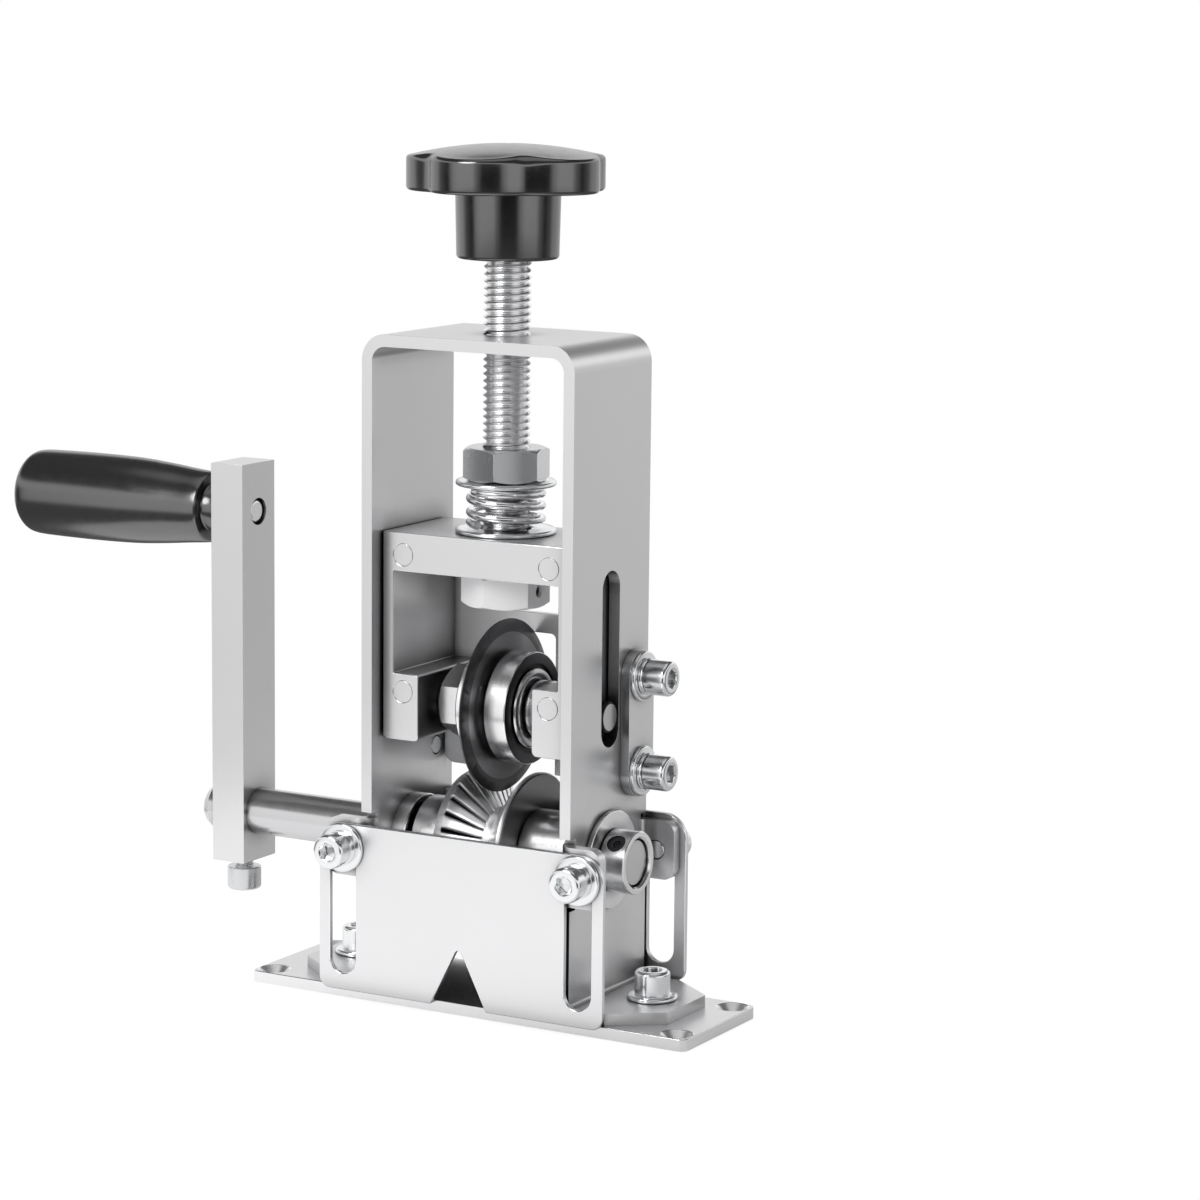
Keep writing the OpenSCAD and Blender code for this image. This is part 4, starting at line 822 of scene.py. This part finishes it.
# %% The two washers of the spring
SEAT_LINE = ((6.25, 0), (12.1, 0), (12.42, .18), (12.5, .5), (12.42, .95), (12.1, 1.2), (11.2, 1.12),
             (6.6, 1.12), (6.25, .9))
for node in ("spring_top_washer", "spring_seat_washer"):
    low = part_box(node)[0].z
    disc = rings_mesh(node, [ring(r * MM, low + h * MM, 96) for r, h in SEAT_LINE], bored=True)
    disc.transform(Matrix.Translation(feed_axis))
    stand_in(node, disc, 50, "zinc")

# %% [markdown]
# What repeats, or follows a path, is made by Geometry Nodes: the rule is written once, and its named
# inputs give the sizes. A tree here always ends in Realize Instances and Set Material. Its result is
# then turned into a plain mesh, because an export keeps meshes and not trees.

# %% Building and running a geometry tree
SOCKET_KINDS = {float: "NodeSocketFloat", int: "NodeSocketInt", tuple: "NodeSocketVector"}


def geometry_tree(name, sizes, kinds=()):
    """A new tree with named inputs. sizes gives numbers and places, and kinds names other sockets."""
    tree = bpy.data.node_groups.new(name, "GeometryNodeTree")
    tree.interface.new_socket("Geometry", in_out="INPUT", socket_type="NodeSocketGeometry")
    for label, value in sizes.items():
        socket = tree.interface.new_socket(label, in_out="INPUT", socket_type=SOCKET_KINDS[type(value)])
        socket.default_value = value
    for label, kind in dict(kinds).items():
        tree.interface.new_socket(label, in_out="INPUT", socket_type=kind)
    tree.interface.new_socket("Finish", in_out="INPUT", socket_type="NodeSocketMaterial")
    tree.interface.new_socket("Geometry", in_out="OUTPUT", socket_type="NodeSocketGeometry")
    nodes = Nodes(tree)
    given = nodes.add("NodeGroupInput").node.outputs
    return nodes, given


def close_tree(nodes, geometry, given):
    whole = nodes.add("GeometryNodeRealizeInstances", {"Geometry": geometry})
    painted = nodes.add("GeometryNodeSetMaterial", {"Geometry": whole, "Material": given["Finish"]})
    nodes.add("NodeGroupOutput", {0: painted})
    return nodes.tree


def grow(node, tree, finish, values, start=None):
    """Runs a tree on a start mesh and keeps the result as a plain mesh."""
    values = values | {"Finish": FINISH[finish]}
    piece = new_object(f"{node}_model", start or bpy.data.meshes.new(f"{node}_model"))
    rule = piece.modifiers.new("rule", "NODES")
    rule.node_group = tree
    for socket in tree.interface.items_tree:
        if socket.in_out == "INPUT" and socket.name in values:
            rule[socket.identifier] = values[socket.name]
    fix_modifiers(piece)
    return piece


# %% [markdown]
# A screw thread is a V-shaped groove along a helix. The tree starts with a flat grid, rolls its width
# round the axis and leans its rows, so that they climb by one pitch in a turn. The crest and the root
# then lie exactly on rows, and the V stays crisp with few faces. At both ends the groove fades out and
# the rows close to a flat face.

# %% The thread's tree


def thread_tree():
    nodes, given = geometry_tree("rolled_thread", {
        "Radius": 5.9 * MM, "Depth": .95 * MM, "Pitch": 1.75 * MM, "Length": .1,
        "Foot": (0.0, 0.0, 0.0), "Rows a turn": 8, "Columns": 40})
    turns = nodes.plus(nodes.over(given["Length"], given["Pitch"]), 3.0)
    steps = nodes.math("CEIL", nodes.times(turns, given["Rows a turn"]))
    around = nodes.plus(given["Columns"], 1.0)
    along = nodes.plus(steps, 1.0)
    grid = nodes.add("GeometryNodeMeshGrid", {"Size X": 1.0, "Size Y": 1.0, "Vertices X": around,
                                              "Vertices Y": along})
    flat = nodes.parts(nodes.add("GeometryNodeInputPosition"))
    turn = nodes.plus(flat[0], .5)
    row = nodes.math("ROUND", nodes.times(nodes.plus(flat[1], .5), steps))
    rows_up = nodes.over(row, given["Rows a turn"])
    climbed = nodes.minus(nodes.plus(rows_up, turn), 1.5)
    height = nodes.times(climbed, given["Pitch"])
    kept = nodes.add("ShaderNodeClamp", {"Value": height, "Min": 0.0, "Max": given["Length"]})
    wave = nodes.math("PINGPONG", nodes.times(rows_up, 2.0), 1.0)
    groove = nodes.scaled(wave, .12, .88, 0.0, 1.0)
    near_end = nodes.math("MINIMUM", kept, nodes.minus(given["Length"], kept))
    fade = nodes.scaled(near_end, 0.0, nodes.times(given["Pitch"], .5), 1.0, 0.0)
    cut = nodes.math("MAXIMUM", groove, fade)
    radius = nodes.minus(given["Radius"], nodes.times(cut, given["Depth"]))
    first = nodes.math("LESS_THAN", row, .5)
    last = nodes.math("GREATER_THAN", row, nodes.minus(steps, .5))
    body = nodes.minus(1.0, nodes.plus(first, last))
    reach = nodes.times(radius, body)
    angle = nodes.times(turn, 2 * math.pi)
    place = nodes.add("ShaderNodeCombineXYZ", {
        0: nodes.times(reach, nodes.math("COSINE", angle)),
        1: nodes.times(reach, nodes.math("SINE", angle)), 2: kept})
    rolled = nodes.add("GeometryNodeSetPosition", {
        "Geometry": grid, "Position": nodes.vector("ADD", place, given["Foot"])})
    welded = nodes.add("GeometryNodeMergeByDistance", {"Geometry": rolled, "Distance": 2e-6})
    return close_tree(nodes, welded, given)


def outward(mesh, sharp_angle):
    """Turns all faces outward, without slivers, and shades them."""
    shell = bmesh.new()
    shell.from_mesh(mesh)
    bmesh.ops.dissolve_degenerate(shell, dist=1e-7, edges=shell.edges)
    bmesh.ops.recalc_face_normals(shell, faces=shell.faces)
    shell.to_mesh(mesh)
    shell.free()
    shade(mesh, sharp_angle)


THREAD = thread_tree()
print(f"thread tree of {len(THREAD.nodes)} nodes")

# %% The feed screw
rod_low, rod_high = (point.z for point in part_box("feed_screw"))
feed = grow("feed_screw", THREAD, "screw", {
    "Length": rod_high - rod_low, "Foot": (feed_axis.x, feed_axis.y, rod_low)})
outward(feed.data, 30)
dress(feed, "feed_screw", "screw")

# %% [markdown]
# The spring is a round wire along a helix. Its end turns lie nearly flat, so that it stands square
# between its washers, and the middle turns climb. A curve to mesh gives the wire, and a smooth step
# mixed into the height gives the closed ends.

# %% The compression spring
SPRING_TURNS = 3.03
WIRE_R = 1.05 * MM
SPRING_START = math.radians(-111)


def spring_tree():
    nodes, given = geometry_tree("compression_spring", {
        "Turns": SPRING_TURNS, "Middle radius": 8.85 * MM, "Rise": 8.2 * MM, "Wire radius": WIRE_R,
        "Closed ends": .6, "Steps a turn": 56})
    helix = nodes.add("GeometryNodeCurveSpiral", {
        "Resolution": given["Steps a turn"], "Rotations": given["Turns"],
        "Start Radius": given["Middle radius"], "End Radius": given["Middle radius"], "Height": 0.0})
    share = nodes.add("GeometryNodeSplineParameter", out="Factor")
    gentle = nodes.scaled(share, 0.0, 1.0, 0.0, 1.0, interpolation_type="SMOOTHSTEP")
    even = nodes.times(share, nodes.minus(1.0, given["Closed ends"]))
    climb = nodes.plus(even, nodes.times(gentle, given["Closed ends"]))
    lift = nodes.add("ShaderNodeCombineXYZ", {2: nodes.times(climb, given["Rise"])})
    raised = nodes.add("GeometryNodeSetPosition", {"Geometry": helix, "Offset": lift})
    section = nodes.add("GeometryNodeCurvePrimitiveCircle", {"Resolution": 20,
                                                             "Radius": given["Wire radius"]})
    wire = nodes.add("GeometryNodeCurveToMesh", {"Curve": raised, "Profile Curve": section,
                                                 "Fill Caps": True})
    return close_tree(nodes, wire, given)


spring_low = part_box("compression_spring")[0].z
spring = grow("compression_spring", spring_tree(), "spring", {})
spring.data.transform(Matrix.Translation(feed_axis + Vector((0, 0, spring_low + WIRE_R)))
                      @ Matrix.Rotation(SPRING_START, 4, "Z"))
outward(spring.data, 50)
dress(spring, "compression_spring", "spring")
spring_heights = [point.co.z / MM for point in spring.data.vertices]
print(f"spring from {min(spring_heights):.2f} to {max(spring_heights):.2f} mm")
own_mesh(spring)

# %% [markdown]
# The ribbed wheel pulls the cable through. Its cone is cut by a groove between each two ribs, deeper at
# the rim than near the middle. The plain cone is laid up from rings first, and each of its points keeps
# the cut that it would get in the middle of a groove. The tree then applies that cut, by how near the
# point is to a groove's middle, and marks its depth for the finish, which paints the deeper parts of a
# groove nearly black: painted shade.

# %% The ribbed wheel
RIBS = 28
WHEEL_COLUMNS = 12 * RIBS
PAINTED_SHADE_FROM, PAINTED_SHADE_FULL = .2 * MM, .8 * MM
# Place along the shaft, radius, depth of the cut and how far it leans back
WHEEL_LINE = ((-10.4, 6.02, 0, 0), (-10.4, 17.2, 0, 0), (-10.15, 17.62, 0, 0), (-7.3, 19.32, .15, .1),
              (-6.9, 19.46, 1.1, .6), (-6.55, 19.05, 1.08, .64), (-5.2, 16.76, .95, .56),
              (-3.8, 14.4, .8, .47), (-2.4, 12.0, .62, .37), (-1.3, 10.15, .45, .27),
              (-1.05, 9.62, .2, .1), (-.95, 9.5, 0, 0), (0, 9.5, 0, 0), (0, 6.02, 0, 0))


def ribbed_blank():
    mesh = rings_mesh("ribbed_wheel", [ring(r * MM, x * MM, WHEEL_COLUMNS) for x, r, *_ in WHEEL_LINE],
                      bored=True)
    cut = mesh.attributes.new("cut", "FLOAT_VECTOR", "POINT")
    for i, point in enumerate(mesh.vertices):
        _, r, depth, lean = WHEEL_LINE[i // WHEEL_COLUMNS]
        inward = Vector((-point.co.x, -point.co.y, 0)).normalized() * depth * MM
        cut.data[i].vector = upright_to_x(Vector()).to_3x3() @ (inward - Vector((0, 0, lean * MM)))
    mesh.transform(upright_to_x(shaft_axis))
    return mesh


def rib_tree():
    nodes, given = geometry_tree("ribs", {"Ribs": RIBS, "Axis Y": shaft_axis.y,
                                          "Axis Z": shaft_axis.z, "Cut share": .36})
    parts = nodes.parts(nodes.add("GeometryNodeInputPosition"))
    angle = nodes.math("ARCTAN2", nodes.minus(parts[2], given["Axis Z"]),
                       nodes.minus(parts[1], given["Axis Y"]))
    count = nodes.times(nodes.over(angle, 2 * math.pi), given["Ribs"])
    from_land = nodes.math("PINGPONG", nodes.times(count, 2.0), 1.0)
    depth = nodes.scaled(from_land, nodes.minus(1.0, given["Cut share"]), 1.0, 0.0, 1.0)
    cut = nodes.add("GeometryNodeInputNamedAttribute", {"Name": "cut"}, data_type="FLOAT_VECTOR")
    shift = nodes.add("ShaderNodeVectorMath", {0: cut, "Scale": depth}, operation="SCALE")
    reach = nodes.add("ShaderNodeVectorMath", {0: shift}, "Value", operation="LENGTH")
    # Deeper points of a groove are marked for painted shade.
    painted_shade = nodes.scaled(reach, PAINTED_SHADE_FROM, PAINTED_SHADE_FULL, 0.0, 1.0)
    marked = nodes.add("GeometryNodeStoreNamedAttribute", {
        "Geometry": given["Geometry"], "Name": "groove", "Value": painted_shade}, data_type="FLOAT")
    grooved = nodes.add("GeometryNodeSetPosition", {"Geometry": marked, "Offset": shift})
    return close_tree(nodes, grooved, given)


ribbed = grow("ribbed_wheel", rib_tree(), "wheel", {}, ribbed_blank())
ribbed.data.attributes.remove(ribbed.data.attributes["cut"])
shade(ribbed.data, 25)
dress(ribbed, "ribbed_wheel", "wheel")

# %% [markdown]
# All the cap screws are alike: a smooth head with a rounded rim, a hexagon socket with a drilled floor,
# and a shank. One template of each, and one of each washer, is placed on all its seats by one tree. The
# seats are the points of a small mesh, which also keeps the direction and the turn of each screw.

# %% Templates of the screw and its washers
templates = []
HEAD_R, HEAD_H, HEAD_ROUND = 4.4, 6, .95
SOCKET_AF = 4.2
SCREW_COLUMNS = 60
WASHER_R, WASHER_T = 6.25, 1.2


def hexagon(across_flats):
    def radius(angle):
        off = (angle + math.radians(30)) % math.radians(60) - math.radians(30)
        return across_flats / 2 / math.cos(off)
    return radius


def cap_screw(shank):
    """A cap screw that stands on zero with its head, in millimetres, with the shank below."""
    socket = hexagon(SOCKET_AF)
    line = [(1.85, 3.0), (socket, 3.02), (socket, 5.72), (2.45, 5.97), (2.6, HEAD_H)]
    line += reversed(corner(HEAD_R - HEAD_ROUND, HEAD_H - HEAD_ROUND, HEAD_ROUND, 0, 6))
    line += [(HEAD_R, .25), (HEAD_R - .22, 0), (2.5, 0), (2.5, .4 - shank), (2.1, -shank)]
    return rings_mesh("cap_screw", [[Vector((0, 0, 2.2))]]
                      + [ring(r, h, SCREW_COLUMNS) for r, h in line] + [[Vector((0, 0, -shank))]])


def flat_washer():
    line = ((2.6, .1), (2.75, 0), (5.95, 0), (6.2, .2), (WASHER_R, .7), (6.1, 1.08),
            (5.8, WASHER_T), (2.8, WASHER_T), (2.6, 1.05))
    return rings_mesh("flat_washer", [ring(r, h, 72) for r, h in line], bored=True)


def lock_washer():
    """A ring of square wire with a cut across it. Its two ends stand slightly apart."""
    section = ((2.6, .0), (4.5, 0), (4.6, .12), (4.6, 1.0), (4.5, 1.12), (2.6, 1.12))
    half_cut, lift, steps = 6, .16, 60
    rings = []
    for step in range(steps + 1):
        angle = math.radians(half_cut + (360 - 2 * half_cut) * step / steps)
        rings.append([Vector((r * math.cos(angle), r * math.sin(angle), h + lift * step / steps))
                      for r, h in section])
    return rings_mesh("lock_washer", rings, capped=True)


def template(mesh, sharp_angle):
    """The mesh scaled from millimetres, as an object that the tree can read. It is removed later."""
    mesh.transform(Matrix.Scale(MM, 4))
    shade(mesh, sharp_angle)
    templates.append(new_object(mesh.name, mesh))
    return templates[-1]


# %% The tree that fills the seats
UP, DOWN = (0, 0, 1), (0, 0, -1)


def seats_tree():
    nodes, given = geometry_tree("screws_on_seats", {}, {"Template": "NodeSocketObject"})
    shape = nodes.add("GeometryNodeObjectInfo", {"Object": given["Template"], "As Instance": True},
                      "Geometry")
    facing = nodes.add("GeometryNodeInputNamedAttribute", {"Name": "facing"},
                       data_type="FLOAT_VECTOR")
    spin = nodes.add("GeometryNodeInputNamedAttribute", {"Name": "spin"}, data_type="FLOAT")
    aimed = nodes.add("FunctionNodeAlignRotationToVector", {"Vector": facing}, axis="Z")
    spun = nodes.add("FunctionNodeAxisAngleToRotation", {"Axis": UP, "Angle": spin})
    turn = nodes.add("FunctionNodeRotateRotation", {"Rotation": aimed, "Rotate By": spun},
                     rotation_space="LOCAL")
    placed = nodes.add("GeometryNodeInstanceOnPoints", {
        "Points": given["Geometry"], "Instance": shape, "Rotation": turn})
    return close_tree(nodes, placed, given)


def seats_mesh(name, seats):
    """A point for each seat: (place in millimetres, direction of the head, turn in degrees)."""
    mesh = bpy.data.meshes.new(name)
    mesh.from_pydata([Vector(place) * MM for place, _, _ in seats], [], [])
    mesh.attributes.new("facing", "FLOAT_VECTOR", "POINT")
    mesh.attributes.new("spin", "FLOAT", "POINT")
    for i, (_, way, turn) in enumerate(seats):
        mesh.attributes["facing"].data[i].vector = way
        mesh.attributes["spin"].data[i].value = math.radians(turn)
    return mesh


SEATS = seats_tree()
print(f"seat tree of {len(SEATS.nodes)} nodes")

# %% [markdown]
# The seats are read from the boxes of the washers, whose outermost rims give the screws' axes. The turns
# of the sockets differ from screw to screw, as nobody lines them up.

# %% Where the screws sit
frame_y = shaft_axis.y / MM
foot_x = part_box("foot_washers")[1].x / MM - WASHER_R
foot_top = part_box("foot_washers")[0].z / MM
guide_front, guide_rear = (point.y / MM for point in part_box("guide_washers"))
guide_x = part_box("guide_washers")[1].x / MM - WASHER_R
guide_z = middle("guide_washers").z / MM
strip_y = middle("strip_washers").y / MM
strip_low, strip_high = (point.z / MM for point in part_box("strip_washers"))
strip_heights = (strip_low + WASHER_R, strip_high - WASHER_R)
strip_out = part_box("strip_washers")[1].x / MM
LOCK_GAP = 1.3
SPINS = (12, 47, 31, 5)


def foot_seats(height):
    return [((side * foot_x, frame_y, height), UP, SPINS[side > 0]) for side in (-1, 1)]


def guide_seats(out):
    return [((side * guide_x, y + way * out, guide_z), (0, way, 0), SPINS[first + (side > 0)])
            for y, way, first in ((guide_front, -1, 0), (guide_rear, 1, 2)) for side in (-1, 1)]


def strip_seats(out):
    return [((side * (strip_out + out), strip_y, height), (side, 0, 0), SPINS[i + (side > 0)])
            for side in (-1, 1) for i, height in enumerate(strip_heights)]


print(f"foot screws at X {foot_x:.1f}, guide screws at X {guide_x:.1f} mm")

# %% Screws and washers on their seats
WASHER = template(flat_washer(), 50)
LOCK = template(lock_washer(), 50)
FASTENERS = (
    ("foot_washers", WASHER, foot_seats(foot_top)),
    ("foot_screws", template(cap_screw(6.8), 35), foot_seats(foot_top + WASHER_T)),
    ("guide_washers", WASHER, guide_seats(-WASHER_T)),
    ("guide_screws", template(cap_screw(5.6), 35), guide_seats(0)),
    ("strip_washers", WASHER, strip_seats(-WASHER_T)),
    ("strip_lock_washers", LOCK, strip_seats(0)),
    ("strip_screws", template(cap_screw(8.0), 35), strip_seats(LOCK_GAP)),
)
for node, shape, seats in FASTENERS:
    dress(grow(node, SEATS, "zinc", {"Template": shape}, seats_mesh(node, seats)), node, "zinc")

# %% [markdown]
# The clamp screw of the arm points down. Its head hangs below the arm on a short threaded neck, so it is
# two shapes in one piece: the template's head, and a thread of the same tree as the feed screw.

# %% The arm's clamp screw
clamp_low, clamp_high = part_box("arm_clamp_screw")
clamp_seat = clamp_low.z / MM + HEAD_H
clamp_at = (*(place / MM for place in middle("arm_clamp_screw").xy), clamp_seat)
clamp = grow("arm_clamp_screw", SEATS, "nut", {"Template": template(cap_screw(.6), 35)},
             seats_mesh("arm_clamp_screw", [(clamp_at, DOWN, 20)]))
neck = grow("clamp_thread", THREAD, "nut", {
    "Radius": 2.5 * MM, "Depth": .45 * MM, "Pitch": .8 * MM, "Length": clamp_high.z - clamp_seat * MM,
    "Foot": tuple(place * MM for place in clamp_at), "Columns": 32})
outward(neck.data, 30)
joined = bmesh.new()
joined.from_mesh(clamp.data)
joined.from_mesh(neck.data)
joined.to_mesh(clamp.data)
joined.free()
for done in [neck] + templates:
    bpy.data.objects.remove(done)
dress(clamp, "arm_clamp_screw", "nut")

# %% [markdown]
# The last cell lists the nodes that still show their own mesh, so that a forgotten one stands out.

left_plain = [name for name, node in frame["nodes"].items() if not node.hide_render]
print(f"nodes that still show their own mesh: {left_plain}")
